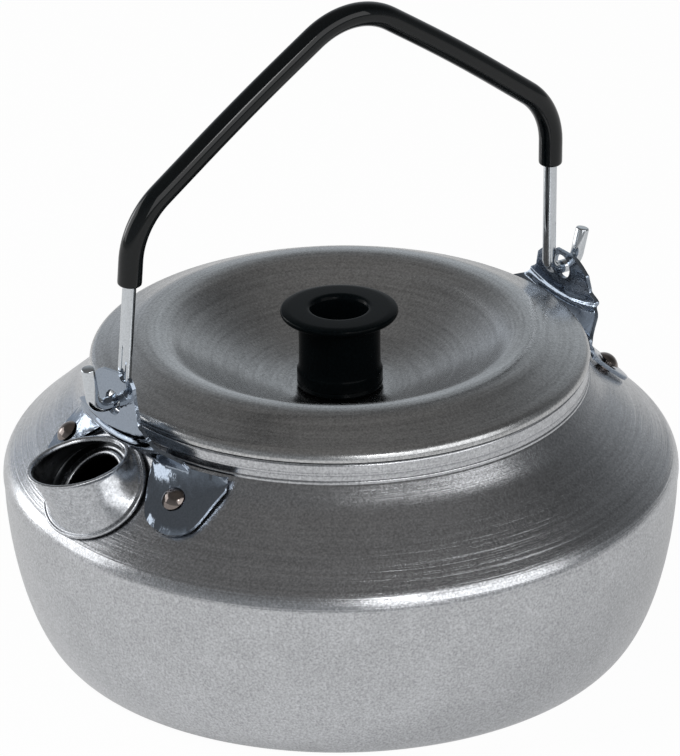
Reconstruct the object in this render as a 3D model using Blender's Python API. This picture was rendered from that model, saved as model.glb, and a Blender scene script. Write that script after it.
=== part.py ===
"""Camping kettle: a spun aluminium body with a spout, a lift-off lid and a swinging wire bail.

Metres, +Z up. The origin is the centre of the flat base, and the spout points along -X.
"""

from math import atan2, cos, degrees, hypot, pi, radians, sin, tan

import bmesh
import bpy
from mathutils import Matrix, Vector

MM = 0.001

# Gap between touching pieces, how far a cutter reaches, and the steps round each turned piece
GAP = 0.3 * MM
CUT_REACH = 8.0 * MM
BODY_STEPS = 56
LID_STEPS = 56
KNOB_STEPS = 28
RIVET_STEPS = 16
SPOUT_STEPS = 32

# Body shell: bellied wall, conical shoulder and upright collar
BODY_RADIUS = 75.0 * MM
BASE_RADIUS = 64.07 * MM
WALL_TOP_Z = 36.0 * MM
WALL_TOP_RADIUS = 74.77 * MM
WALL_POWER = 1.18
SHOULDER_EDGE_Z = 40.77 * MM
SHOULDER_EDGE_ROUND = 4.5 * MM
COLLAR_RADIUS = 54.87 * MM
COLLAR_FOOT_Z = 59.26 * MM
COLLAR_TOP_Z = 63.96 * MM
# A fine bead round the collar: height above the collar's foot, and how far it stands out
COLLAR_BEAD = ((2.7 * MM, 0.0), (2.2 * MM, 0.4 * MM), (1.6 * MM, 0.4 * MM), (1.1 * MM, 0.0))
SHEET = 1.2 * MM
SHOULDER_SLOPE = atan2(SHOULDER_EDGE_Z - COLLAR_FOOT_Z, BODY_RADIUS - COLLAR_RADIUS)
SLOPE_COS = cos(SHOULDER_SLOPE)
SLOPE_SIN = -sin(SHOULDER_SLOPE)

# Lid: rolled rim and plug skirt, conical band, crest and dished middle
LID_RADIUS = 55.1 * MM
LID_LOW_Z = COLLAR_TOP_Z + GAP
LID_SHEET = 1.0 * MM
SKIRT_RADIUS = 53.2 * MM
SKIRT_LOW_Z = 58.8 * MM
RIM_TOP_Z = 66.3 * MM
CREST_RADIUS = 40.6 * MM
CREST_Z = 71.9 * MM
DISH_FLOOR_RADIUS = 11.0 * MM
DISH_FLOOR_Z = 57.0 * MM
DISH_POWER = 1.4

# Knob and its screw, washer and nut
KNOB_TOP_Z = 75.63 * MM
KNOB_RADIUS = 13.03 * MM
STEM_RADIUS = 9.05 * MM
KNOB_FOOT_TOP_Z = 61.0 * MM
KNOB_FOOT_OUT = 0.45 * MM
KNOB_RECESS_RADIUS = 6.1 * MM
KNOB_RECESS_FLOOR_Z = 66.5 * MM
SCREW_RADIUS = 2.0 * MM
SCREW_HEAD_RADIUS = 3.6 * MM
SCREW_HEAD_HEIGHT = 2.4 * MM
SCREW_END_Z = 50.6 * MM
SCREW_HOLE_RADIUS = SCREW_RADIUS + GAP
WASHER_RADIUS = 5.0 * MM
WASHER_THICK = 1.0 * MM
NUT_ACROSS_FLATS = 7.0 * MM
NUT_THICK = 3.2 * MM

# Spout: an oval foot on the shoulder, a neck through it and a slanting oval mouth
SPOUT_PLACE = 13.0 * MM
SPOUT_FOOT = (11.35 * MM, 13.3 * MM)
SPOUT_MOUTH = (11.27 * MM, 9.18 * MM)
MOUTH_CENTRE = Vector((-68.3, 0.0, 57.4)) * MM
MOUTH_TILT = radians(7.5)
SPOUT_NECK_RADIUS = 9.0 * MM
SPOUT_NECK_WALL = 0.8 * MM

# Brackets: a pierced upright plate, a web down to the collar and two riveted ears
PLATE_SHEET = 0.9 * MM
PLATE_LEAN = 0.05
PLATE_FLARE_POWER = 1.6
PLATE_HOLE_RADIUS = 2.8 * MM
FOLD_OUT = 0.4 * MM
FOLD_RISE = 2.2 * MM
FOLD_BEND = 1.3 * MM
NOTCH_PLACE = 3.8 * MM
NOTCH_WIDTH = 3.6 * MM
NOTCH_DEPTH = 1.1 * MM
WEB_FOOT_RADIUS = 56.3 * MM
WEB_FOOT_ANGLE = radians(20.6)
WEB_BULGE = 0.9 * MM
# The web's foot is lifted over the spout: where that ends, how fast, and by what share of the web
RELIEF_REACH = 0.62
RELIEF_SLOPE = 0.16
RELIEF_RISE = 0.42
EAR_TOP_RADIUS = 55.9 * MM
# Angle from the bracket's middle, and how far out from the kettle's middle the ear reaches there
LONG_EAR = (
    (9.8, 56.4), (11.5, 59.4), (13.1, 62.2), (14.6, 64.6), (16.4, 66.0), (19.1, 66.8), (22.4, 66.9),
    (25.2, 65.5), (26.6, 63.6), (28.0, 60.6), (29.6, 57.9),
)
SHORT_EAR = (
    (10.9, 56.4), (13.3, 59.4), (15.0, 62.2), (16.4, 64.4), (18.3, 65.7), (20.2, 65.6), (21.8, 64.2),
    (22.8, 62.2), (23.5, 59.9), (23.9, 57.6),
)

# Each bracket's own stance: the plate's distance from the middle, half its width and its flare, its
# top, the top's tilt, where the top's corners start to round and by how much, and the fold's height
FRONT_STANCE = {
    "out": 59.3 * MM, "half": 7.3 * MM, "flare": 5.4 * MM, "top": 76.7 * MM,
    "tilt": 1.2 * MM, "corner": 0.6, "drop": 2.6 * MM, "fold": 62.5 * MM,
}
REAR_STANCE = {
    "out": 61.2 * MM, "half": 8.7 * MM, "flare": 3.7 * MM, "top": 73.4 * MM,
    "tilt": 0.0, "corner": 0.35, "drop": 3.2 * MM, "fold": 61.5 * MM,
}

# Rivets
RIVET_PLACE_RADIUS = 61.2 * MM
RIVET_PLACE_ANGLE = radians(19.4)
RIVET_SHANK_RADIUS = 1.5 * MM
RIVET_HEAD_RADIUS = 2.6 * MM
RIVET_HEAD_HEIGHT = 1.4 * MM
RIVET_TAIL_RADIUS = 2.5 * MM
RIVET_TAIL_HEIGHT = 1.4 * MM
RIVET_HOLE_RADIUS = RIVET_SHANK_RADIUS + GAP

# Bail: steel wire with hooked ends and a plastic sleeve over its grip; X and height above the pivot
PIVOT = Vector((0.0, -0.9, 69.6)) * MM
BRACKET_TURN = PIVOT.y / FRONT_STANCE["out"]
BAIL_LEAN = radians(4.0)
WIRE_RADIUS = 1.5 * MM
FRONT_HOOK_END = (66.1 * MM, 10.0 * MM)
REAR_HOOK_END = (66.1 * MM, 8.4 * MM)
HOOK_CORNER = (64.4 * MM, 0.0)
HOOK_BEND = 3.2 * MM
LEG_CORNER = (57.05 * MM, 0.0)
GRIP_CORNER = (55.1 * MM, 41.3 * MM)
GRIP_APEX = (0.0, 80.3 * MM)
GRIP_BOW = 0.9 * MM
GRIP_BEND = 18.0 * MM
BOW_BEND = 500.0 * MM
HOOK_STEPS = [4, 4]
GRIP_STEPS = [5, 1, 5, 1, 5]
SLEEVE_RADIUS = 2.65 * MM
SLEEVE_LOW = 27.3 * MM


def material(name, colour, roughness, metallic):
    made = bpy.data.materials.new(name)
    made.use_nodes = True
    shader = made.node_tree.nodes["Principled BSDF"]
    shader.inputs["Base Color"].default_value = (*colour, 1.0)
    shader.inputs["Roughness"].default_value = roughness
    shader.inputs["Metallic"].default_value = metallic
    return made


def new_object(name, mesh, finish=None):
    made = bpy.data.objects.new(name, mesh)
    bpy.context.scene.collection.objects.link(made)
    if finish:
        mesh.materials.append(finish)
    return made


def mesh_from(name, points, faces, sharp=40.0):
    mesh = bpy.data.meshes.new(name)
    mesh.from_pydata([tuple(point) for point in points], [], faces)
    mesh.shade_smooth()
    mesh.set_sharp_from_angle(angle=radians(sharp))
    return mesh


def turned(name, outline, steps, finish, closed):
    """Turns an outline of (radius, height) points round Z. It runs down its outer side."""
    count = len(outline)
    edges = [(i, i + 1) for i in range(count - 1)]
    if closed:
        edges.append((count - 1, 0))
    mesh = bpy.data.meshes.new(name)
    mesh.from_pydata([(radius, 0.0, height) for radius, height in outline], edges, [])
    made = new_object(name, mesh, finish)
    screw = made.modifiers.new("Turn", "SCREW")
    screw.axis = "Z"
    screw.steps = steps
    screw.render_steps = steps
    screw.use_merge_vertices = True
    screw.merge_threshold = 0.00001
    screw.use_smooth_shade = True
    return made


def cutter(name, radius, low, high, place, direction, steps=24):
    """A round cutter along a direction, from low to high of its place."""
    mesh = bpy.data.meshes.new(name)
    shape = bmesh.new()
    bmesh.ops.create_cone(
        shape, cap_ends=True, segments=steps, radius1=radius, radius2=radius, depth=high - low,
        matrix=Matrix.Translation((0.0, 0.0, (high + low) / 2)),
    )
    shape.to_mesh(mesh)
    shape.free()
    made = new_object(name, mesh)
    turn = direction.to_track_quat("Z", "Y").to_matrix().to_4x4()
    made.matrix_world = Matrix.Translation(place) @ turn
    made.hide_render = True
    made.display_type = "WIRE"
    return made


def boolean(target, tool, operation):
    step = target.modifiers.new(tool.name, "BOOLEAN")
    step.operation = operation
    step.solver = "EXACT"
    step.object = tool


def arc(centre, radius, start, end, count):
    """Points of an arc, from one angle in degrees to another."""
    turns = [radians(start + (end - start) * i / count) for i in range(count + 1)]
    return [(centre[0] + radius * cos(turn), centre[1] + radius * sin(turn)) for turn in turns]


def inset_outline(outline, depth):
    """The outline moved by a depth to its right-hand side, which is inside where it runs down."""
    moved = []
    for i, (radius, height) in enumerate(outline):
        before = outline[max(i - 1, 0)]
        after = outline[min(i + 1, len(outline) - 1)]
        run, rise = after[0] - before[0], after[1] - before[1]
        length = hypot(run, rise)
        moved.append((max(radius + depth * rise / length, 0.0), height - depth * run / length))
    return moved


def shoulder_normal(angle):
    return Vector((cos(angle) * SLOPE_SIN, sin(angle) * SLOPE_SIN, SLOPE_COS))


def shoulder_point(angle, radius, above=0.0):
    """A point of the shoulder at an angle round Z and a radius, raised square to its surface."""
    height = COLLAR_FOOT_Z - (radius - COLLAR_RADIUS) * SLOPE_SIN / SLOPE_COS
    return Vector((radius * cos(angle), radius * sin(angle), height)) + shoulder_normal(angle) * above


def body_outline():
    """Outer side of the shell from the collar's lip down to the middle of the base."""
    lip = SHEET / 2
    outline = [(COLLAR_RADIUS - lip, COLLAR_TOP_Z), (COLLAR_RADIUS, COLLAR_TOP_Z - lip)]
    for height, out in COLLAR_BEAD:
        outline.append((COLLAR_RADIUS + out, COLLAR_FOOT_Z + height))
    outline.append((COLLAR_RADIUS, COLLAR_FOOT_Z))
    turn = pi / 2 + SHOULDER_SLOPE
    reach = SHOULDER_EDGE_ROUND * tan(turn / 2)
    centre = (BODY_RADIUS - SHOULDER_EDGE_ROUND, SHOULDER_EDGE_Z - reach)
    outline += arc(centre, SHOULDER_EDGE_ROUND, degrees(turn), 0.0, 4)
    belly = WALL_TOP_RADIUS - BASE_RADIUS
    for step in range(7):
        swing = radians(90.0 * step / 6)
        outline.append((
            BASE_RADIUS + belly * cos(swing) ** WALL_POWER,
            WALL_TOP_Z * (1.0 - sin(swing) ** WALL_POWER),
        ))
    outline.append((0.0, 0.0))
    return outline


def body_inside():
    """Inner side of the shell, from the middle of its floor up to the collar's lip."""
    outer = [point for i, point in enumerate(body_outline()) if i not in (0, 2, 3, 4, 5)]
    inner = inset_outline(outer, SHEET)
    inner[0] = (COLLAR_RADIUS - SHEET, COLLAR_TOP_Z - SHEET / 2)
    inner[1] = (COLLAR_RADIUS - SHEET, COLLAR_FOOT_Z - SHEET * tan(-SHOULDER_SLOPE / 2))
    inner[-2] = (inner[-2][0], SHEET)
    inner[-1] = (0.0, SHEET)
    return inner[::-1]


def make_body(finish):
    shell = turned("body_shell", body_inside() + body_outline(), BODY_STEPS, finish, closed=False)
    spout_hole = SPOUT_NECK_RADIUS + SPOUT_NECK_WALL + GAP
    reach = CUT_REACH
    tool = cutter("cut_spout", spout_hole, -reach, reach, spout_centre(), shoulder_normal(pi), SPOUT_STEPS)
    boolean(shell, tool, "DIFFERENCE")
    for name, angle in rivet_angles().items():
        tool = cutter("cut_" + name, RIVET_HOLE_RADIUS, -reach, reach,
                      shoulder_point(angle, RIVET_PLACE_RADIUS), shoulder_normal(angle), RIVET_STEPS)
        boolean(shell, tool, "DIFFERENCE")


def spout_centre():
    return shoulder_point(pi, COLLAR_RADIUS + SPOUT_PLACE * SLOPE_COS)


def on_shoulder(along, across, above):
    """A point over the shoulder, square to it at the spout, at a given height above its surface."""
    down = Vector((-SLOPE_COS, 0.0, -SLOPE_SIN))
    square = shoulder_normal(pi)
    point = spout_centre() + down * along + Vector((0.0, across, 0.0))
    for _ in range(4):
        outward = hypot(point.x, point.y) - COLLAR_RADIUS
        height = (point.z - COLLAR_FOOT_Z) * SLOPE_COS + outward * SLOPE_SIN
        point = point + square * (above - height)
    return point


def foot_ring(half_along, half_across, above):
    turns = [2 * pi * i / SPOUT_STEPS for i in range(SPOUT_STEPS)]
    return [on_shoulder(half_along * cos(turn), half_across * sin(turn), above) for turn in turns]


def mouth_ring(grow, rise):
    level = Vector((-cos(MOUTH_TILT), 0.0, -sin(MOUTH_TILT)))
    up = Vector((-sin(MOUTH_TILT), 0.0, cos(MOUTH_TILT)))
    long = level * (SPOUT_MOUTH[0] + grow)
    short = Vector((0.0, SPOUT_MOUTH[1] + grow, 0.0))
    centre = MOUTH_CENTRE + up * rise
    turns = [2 * pi * i / SPOUT_STEPS for i in range(SPOUT_STEPS)]
    return [centre + long * cos(turn) + short * sin(turn) for turn in turns]


def between_rings(low, high, share, waist):
    """A ring part of the way from one ring to another, drawn in a little towards its own middle."""
    ring = [a.lerp(b, share) for a, b in zip(low, high)]
    middle = sum(ring, Vector()) / len(ring)
    pull = waist * sin(pi * share)
    return [point + (middle - point).normalized() * pull for point in ring]


def make_spout(finish):
    """A closed band of rings: up the outside, over the lip, down the inside, through the shoulder."""
    along, across = SPOUT_FOOT
    bead = [(1.1, 0.3), (1.25, 0.75), (0.8, 1.15), (0.1, 1.2)]
    rings = [foot_ring(along + out * MM, across + out * MM, above * MM) for out, above in bead]
    outer_low, outer_high = rings[-1], mouth_ring(-0.1 * MM, -0.3 * MM)
    rings += [between_rings(outer_low, outer_high, share, 0.5 * MM) for share in (0.25, 0.5, 0.75)]
    rings.append(outer_high)
    lip = [(0.35, 0.0), (0.1, 0.45), (-0.45, 0.35)]
    rings += [mouth_ring(grow * MM, rise * MM) for grow, rise in lip]
    inner_high = mouth_ring(-0.95 * MM, -0.3 * MM)
    inner_low = foot_ring(along - 1.1 * MM, across - 1.1 * MM, 1.3 * MM)
    rings.append(inner_high)
    rings += [between_rings(inner_low, inner_high, share, 0.5 * MM) for share in (0.66, 0.33)]
    rings.append(inner_low)
    neck, outside = SPOUT_NECK_RADIUS, SPOUT_NECK_RADIUS + SPOUT_NECK_WALL
    under = -(SHEET + GAP)
    tuck = [
        (neck + 0.3 * MM, 1.1 * MM), (neck, 0.7 * MM), (neck, under - 0.5 * MM),
        (neck + 0.4 * MM, under - SPOUT_NECK_WALL), (neck + 2.0 * MM, under - SPOUT_NECK_WALL),
        (neck + 2.0 * MM, under), (outside, under), (outside, GAP),
    ]
    rings += [foot_ring(radius, radius, above) for radius, above in tuck]
    count = len(rings)
    points = [point for ring in rings for point in ring]
    faces = []
    for i in range(count):
        for j in range(SPOUT_STEPS):
            k = (j + 1) % SPOUT_STEPS
            this, above = i * SPOUT_STEPS, (i + 1) % count * SPOUT_STEPS
            faces.append((this + k, this + j, above + j, above + k))
    new_object("spout", mesh_from("spout", points, faces), finish)


def dish_height(radius):
    """Height of the dish's upper side between its floor and the foot of the crest."""
    rim_radius, rim_height = CREST_RADIUS - 1.2 * MM, CREST_Z - 0.6 * MM
    share = (radius - DISH_FLOOR_RADIUS) / (rim_radius - DISH_FLOOR_RADIUS)
    return DISH_FLOOR_Z + (rim_height - DISH_FLOOR_Z) * share ** DISH_POWER


def lid_outline():
    """Upper side of the lid from its screw hole out to the rim, then the skirt and the under side."""
    rim_radius = CREST_RADIUS - 1.2 * MM
    top = [(SCREW_HOLE_RADIUS, DISH_FLOOR_Z)]
    for step in range(7):
        radius = DISH_FLOOR_RADIUS + (rim_radius - DISH_FLOOR_RADIUS) * step / 6
        top.append((radius, dish_height(radius)))
    top += [(CREST_RADIUS, CREST_Z), (CREST_RADIUS + 1.3 * MM, CREST_Z - 0.45 * MM)]
    rim = [
        (LID_RADIUS - 0.5 * MM, RIM_TOP_Z), (LID_RADIUS, RIM_TOP_Z - 0.6 * MM),
        (LID_RADIUS, LID_LOW_Z + 0.4 * MM), (LID_RADIUS - 0.4 * MM, LID_LOW_Z),
        (SKIRT_RADIUS, LID_LOW_Z), (SKIRT_RADIUS, SKIRT_LOW_Z),
        (SKIRT_RADIUS - LID_SHEET, SKIRT_LOW_Z), (SKIRT_RADIUS - LID_SHEET, RIM_TOP_Z - 0.2 * MM),
    ]
    under = [(CREST_RADIUS + 1.0 * MM, CREST_Z - 1.6 * MM), (CREST_RADIUS, CREST_Z - LID_SHEET)]
    for step in (6, 4, 2, 0):
        radius = DISH_FLOOR_RADIUS + (rim_radius - DISH_FLOOR_RADIUS) * step / 6
        lean = 0.35 * MM * step / 6
        under.append((radius + lean - 0.3 * MM, dish_height(radius) - LID_SHEET - lean))
    under.append((SCREW_HOLE_RADIUS, DISH_FLOOR_Z - LID_SHEET))
    return top + rim + under


def knob_outline():
    base = DISH_FLOOR_Z + GAP
    return [
        (KNOB_RECESS_RADIUS, KNOB_TOP_Z - 0.5 * MM), (KNOB_RECESS_RADIUS + 0.5 * MM, KNOB_TOP_Z),
        (KNOB_RADIUS - 0.7 * MM, KNOB_TOP_Z), (KNOB_RADIUS, KNOB_TOP_Z - 0.7 * MM),
        (KNOB_RADIUS, KNOB_TOP_Z - 1.3 * MM), (KNOB_RADIUS - 0.7 * MM, KNOB_TOP_Z - 2.0 * MM),
        (STEM_RADIUS + 0.9 * MM, KNOB_TOP_Z - 2.6 * MM), (STEM_RADIUS, KNOB_TOP_Z - 3.6 * MM),
        (STEM_RADIUS, KNOB_FOOT_TOP_Z + 1.5 * MM), (STEM_RADIUS + KNOB_FOOT_OUT, KNOB_FOOT_TOP_Z),
        (STEM_RADIUS + KNOB_FOOT_OUT, base + 0.4 * MM),
        (STEM_RADIUS + 0.1 * MM, base), (SCREW_HOLE_RADIUS, base), (SCREW_HOLE_RADIUS, KNOB_RECESS_FLOOR_Z),
        (KNOB_RECESS_RADIUS - 0.2 * MM, KNOB_RECESS_FLOOR_Z),
    ]


def screw_outline():
    seat = KNOB_RECESS_FLOOR_Z + GAP
    top = seat + SCREW_HEAD_HEIGHT
    return [
        (0.0, top), (SCREW_HEAD_RADIUS - 0.9 * MM, top - 0.2 * MM),
        (SCREW_HEAD_RADIUS, top - 1.1 * MM), (SCREW_HEAD_RADIUS, seat), (SCREW_RADIUS, seat),
        (SCREW_RADIUS, SCREW_END_Z + 0.5 * MM), (SCREW_RADIUS - 0.5 * MM, SCREW_END_Z),
        (0.0, SCREW_END_Z),
    ]


def make_knob_parts(plastic, steel):
    made = [turned("knob", knob_outline(), KNOB_STEPS, plastic, closed=True)]
    made.append(turned("knob_screw", screw_outline(), RIVET_STEPS, steel, closed=False))
    high = DISH_FLOOR_Z - LID_SHEET - GAP
    low = high - WASHER_THICK
    ring = [
        (SCREW_HOLE_RADIUS, high), (WASHER_RADIUS, high), (WASHER_RADIUS, low), (SCREW_HOLE_RADIUS, low),
    ]
    made.append(turned("knob_washer", ring, RIVET_STEPS, steel, closed=True))
    high = low - GAP
    low = high - NUT_THICK
    corner = NUT_ACROSS_FLATS / 2 / cos(pi / 6)
    hexagon = [(SCREW_HOLE_RADIUS, high), (corner, high), (corner, low), (SCREW_HOLE_RADIUS, low)]
    made.append(turned("knob_nut", hexagon, 6, steel, closed=True))
    return made


def bracket_angles():
    """Each bracket's angle round Z: both stand a little to the near side of the kettle's middle."""
    return {"front": pi - BRACKET_TURN, "rear": BRACKET_TURN}


def rivet_angles():
    """Each rivet's angle round Z. The front bracket stands over the spout, at -X."""
    middle = bracket_angles()
    return {
        "rivet_front_left": middle["front"] - RIVET_PLACE_ANGLE,
        "rivet_front_right": middle["front"] + RIVET_PLACE_ANGLE,
        "rivet_rear_left": middle["rear"] + RIVET_PLACE_ANGLE,
        "rivet_rear_right": middle["rear"] - RIVET_PLACE_ANGLE,
    }


def make_rivets(finish):
    seat = GAP + PLATE_SHEET + GAP
    tail = -(SHEET + GAP)
    outline = [
        (0.0, seat + RIVET_HEAD_HEIGHT), (RIVET_HEAD_RADIUS - 0.6 * MM, seat + RIVET_HEAD_HEIGHT),
        (RIVET_HEAD_RADIUS, seat + RIVET_HEAD_HEIGHT - 0.5 * MM), (RIVET_HEAD_RADIUS, seat),
        (RIVET_SHANK_RADIUS, seat), (RIVET_SHANK_RADIUS, tail), (RIVET_TAIL_RADIUS, tail),
        (RIVET_TAIL_RADIUS - 0.3 * MM, tail - RIVET_TAIL_HEIGHT + 0.2 * MM),
        (0.0, tail - RIVET_TAIL_HEIGHT),
    ]
    for name, angle in rivet_angles().items():
        made = turned(name, outline, RIVET_STEPS, finish, closed=False)
        turn = shoulder_normal(angle).to_track_quat("Z", "Y").to_matrix().to_4x4()
        made.matrix_world = Matrix.Translation(shoulder_point(angle, RIVET_PLACE_RADIUS)) @ turn


def thick_sheet(name, grid, thickness):
    """A closed sheet round a grid of middle points, whose rows run down as seen from outside."""
    rows, columns = len(grid), len(grid[0])
    points = []
    for side in (0.5, -0.5):
        for i in range(rows):
            for j in range(columns):
                down = grid[min(i + 1, rows - 1)][j] - grid[max(i - 1, 0)][j]
                across = grid[i][min(j + 1, columns - 1)] - grid[i][max(j - 1, 0)]
                points.append(grid[i][j] + down.cross(across).normalized() * thickness * side)
    back = rows * columns
    faces = []
    for i in range(rows - 1):
        for j in range(columns - 1):
            a, b = i * columns + j, i * columns + j + 1
            c, d = a + columns, b + columns
            faces.append((a, c, d, b))
            faces.append((back + a, back + b, back + d, back + c))
    rim = list(range(columns))
    rim += [i * columns + columns - 1 for i in range(1, rows)]
    rim += [(rows - 1) * columns + j for j in range(columns - 2, -1, -1)]
    rim += [i * columns for i in range(rows - 2, 0, -1)]
    for i, a in enumerate(rim):
        b = rim[(i + 1) % len(rim)]
        faces.append((a, b, back + b, back + a))
    return mesh_from(name, points, faces)


def plate_half_width(height, stance):
    """Half the plate's width at a height: slender at the top, flared to the fold."""
    share = max(stance["top"] - height, 0.0) / (stance["top"] - stance["fold"])
    return stance["half"] + stance["flare"] * share ** PLATE_FLARE_POWER


def plate_out(height, stance):
    return stance["out"] + (PIVOT.z - height) * PLATE_LEAN


def web_column(place, stance):
    """Middle points of the plate and web from top to bottom, for a place from -1 to 1 across them."""
    corner = max(abs(place) - stance["corner"], 0.0) / (1.0 - stance["corner"])
    top = stance["top"] + stance["tilt"] * place - stance["drop"] * corner ** 2.0
    fold = stance["fold"] + FOLD_RISE * place ** 2.0
    column = []
    for step in range(5):
        height = top + (fold + FOLD_BEND - top) * step / 4
        across = plate_half_width(height, stance) * place
        column.append(Vector((plate_out(height, stance), across, height)))
    half = plate_half_width(stance["fold"], stance)
    crease = Vector((plate_out(fold, stance) + FOLD_OUT, half * place, fold))
    foot = shoulder_point(WEB_FOOT_ANGLE * place, WEB_FOOT_RADIUS, GAP + PLATE_SHEET / 2)
    relief = max(0.0, min(1.0, (RELIEF_REACH - abs(place)) / RELIEF_SLOPE))
    foot = foot.lerp(crease, RELIEF_RISE * relief)
    bulge = Vector((0.0, 0.0, WEB_BULGE * place ** 2.0))
    column.append(crease + Vector((-0.25, 0.0, 0.25)) * MM)
    column.append(crease.lerp(foot, 0.25) + bulge * 0.3)
    column.append(crease.lerp(foot, 0.6) + bulge * 0.8)
    column.append(crease.lerp(foot, 0.85) + bulge)
    column.append(foot)
    return column


def ear_grid(outline, side):
    """Rows of an ear's middle points, from the collar's foot down to its outline."""
    grid = []
    for share in (0.0, 0.25, 0.6, 1.0):
        row = []
        for angle, reach in (outline if side > 0 else outline[::-1]):
            radius = EAR_TOP_RADIUS + (reach * MM - EAR_TOP_RADIUS) * share
            row.append(shoulder_point(side * radians(angle), radius, GAP + PLATE_SHEET / 2))
        grid.append(row)
    return grid


def make_bracket_mesh(stance, finish):
    """A bracket at +X: a web and plate joined to two ears, then pierced and notched."""
    places = [-1.0, -0.9, -0.78, -0.66, -0.5, -0.33, -0.16, 0.0, 0.16, 0.33, 0.5, 0.66, 0.78, 0.9, 1.0]
    columns = [web_column(place, stance) for place in places]
    grid = [list(row) for row in zip(*columns)]
    bracket = new_object("bracket", thick_sheet("bracket", grid, PLATE_SHEET), finish)
    ears = []
    for side, outline in ((1, LONG_EAR), (-1, SHORT_EAR)):
        ear = new_object("ear", thick_sheet("ear", ear_grid(outline, side), PLATE_SHEET))
        boolean(bracket, ear, "UNION")
        ears.append(ear)
    reach = CUT_REACH / 2
    level = Vector((1.0, 0.0, 0.0))
    top = stance["top"]
    hole = Vector((stance["out"], 0.0, PIVOT.z))
    notch = Vector((plate_out(top, stance), NOTCH_PLACE, top + NOTCH_WIDTH / 2 - NOTCH_DEPTH))
    tools = [cutter("hole", PLATE_HOLE_RADIUS, -reach, reach, hole, level)]
    tools.append(cutter("notch", NOTCH_WIDTH / 2, -reach, reach, notch, level, 16))
    for angle in (-RIVET_PLACE_ANGLE, RIVET_PLACE_ANGLE):
        place = shoulder_point(angle, RIVET_PLACE_RADIUS)
        square = shoulder_normal(angle)
        tools.append(cutter("rivet", RIVET_HOLE_RADIUS, -reach, reach, place, square, RIVET_STEPS))
    for tool in tools:
        boolean(bracket, tool, "DIFFERENCE")
    seen = bracket.evaluated_get(bpy.context.evaluated_depsgraph_get())
    mesh = bpy.data.meshes.new_from_object(seen)
    for made in [bracket] + ears + tools:
        bpy.data.objects.remove(made)
    return mesh


def make_brackets(finish):
    """Two stampings of one kind, half a turn apart: one over the spout and one opposite."""
    for side, stance in (("front", FRONT_STANCE), ("rear", REAR_STANCE)):
        made = new_object(side + "_bracket", make_bracket_mesh(stance, finish))
        made.rotation_euler.z = bracket_angles()[side]


def rounded_path(corners, bends, counts):
    """A flat path through its corners, each but the ends rounded to its bend radius."""
    path = [Vector(corners[0])]
    for i in range(1, len(corners) - 1):
        corner = Vector(corners[i])
        back = (Vector(corners[i - 1]) - corner).normalized()
        ahead = (Vector(corners[i + 1]) - corner).normalized()
        opening = back.angle(ahead)
        reach = bends[i - 1] / tan(opening / 2)
        middle = corner + (back + ahead).normalized() * bends[i - 1] / sin(opening / 2)
        start, end = corner + back * reach - middle, corner + ahead * reach - middle
        sweep = start.angle_signed(end)
        for step in range(counts[i - 1] + 1):
            turn = -sweep * step / counts[i - 1]
            path.append(middle + Matrix.Rotation(turn, 2) @ start)
    path.append(Vector(corners[-1]))
    return path


def mirrored_x(points):
    return [(-x, y) for x, y in points[::-1]]


def grip_corners():
    """Corners of the grip from the right leg over the apex to the left leg, with a slight bow."""
    corner, apex = Vector(GRIP_CORNER), Vector(GRIP_APEX)
    rise = (apex - corner).normalized()
    bow = (corner + apex) / 2 + Vector((-rise.y, rise.x)) * -GRIP_BOW
    right = [GRIP_CORNER, tuple(bow)]
    return right + [GRIP_APEX] + mirrored_x(right)


def tube(name, path, radius, steps, bore=0.0):
    """A round tube along a path in the XZ plane, solid or with a bore open at both ends."""
    count = len(path)
    radii = [radius, bore] if bore else [radius]
    points = []
    for size in radii:
        for i, place in enumerate(path):
            ahead = (path[min(i + 1, count - 1)] - path[max(i - 1, 0)]).normalized()
            side = Vector((-ahead.y, ahead.x))
            for j in range(steps):
                turn = 2 * pi * j / steps
                spot = place + side * size * cos(turn)
                points.append((spot.x, size * sin(turn), spot.y))
    faces = []
    for i in range(count - 1):
        for j in range(steps):
            k = (j + 1) % steps
            a, b, c, d = i * steps + j, i * steps + k, (i + 1) * steps + k, (i + 1) * steps + j
            faces.append((d, c, b, a))
            if bore:
                inner = count * steps
                faces.append((inner + a, inner + b, inner + c, inner + d))
    for first in (0, count - 1):
        ring = [first * steps + j for j in range(steps)]
        if bore:
            inner = [count * steps + place for place in ring]
            for j in range(steps):
                k = (j + 1) % steps
                face = (ring[j], ring[k], inner[k], inner[j])
                faces.append(face if first == 0 else face[::-1])
        else:
            faces.append(tuple(ring) if first == 0 else tuple(ring[::-1]))
    return mesh_from(name, points, faces)


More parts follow.
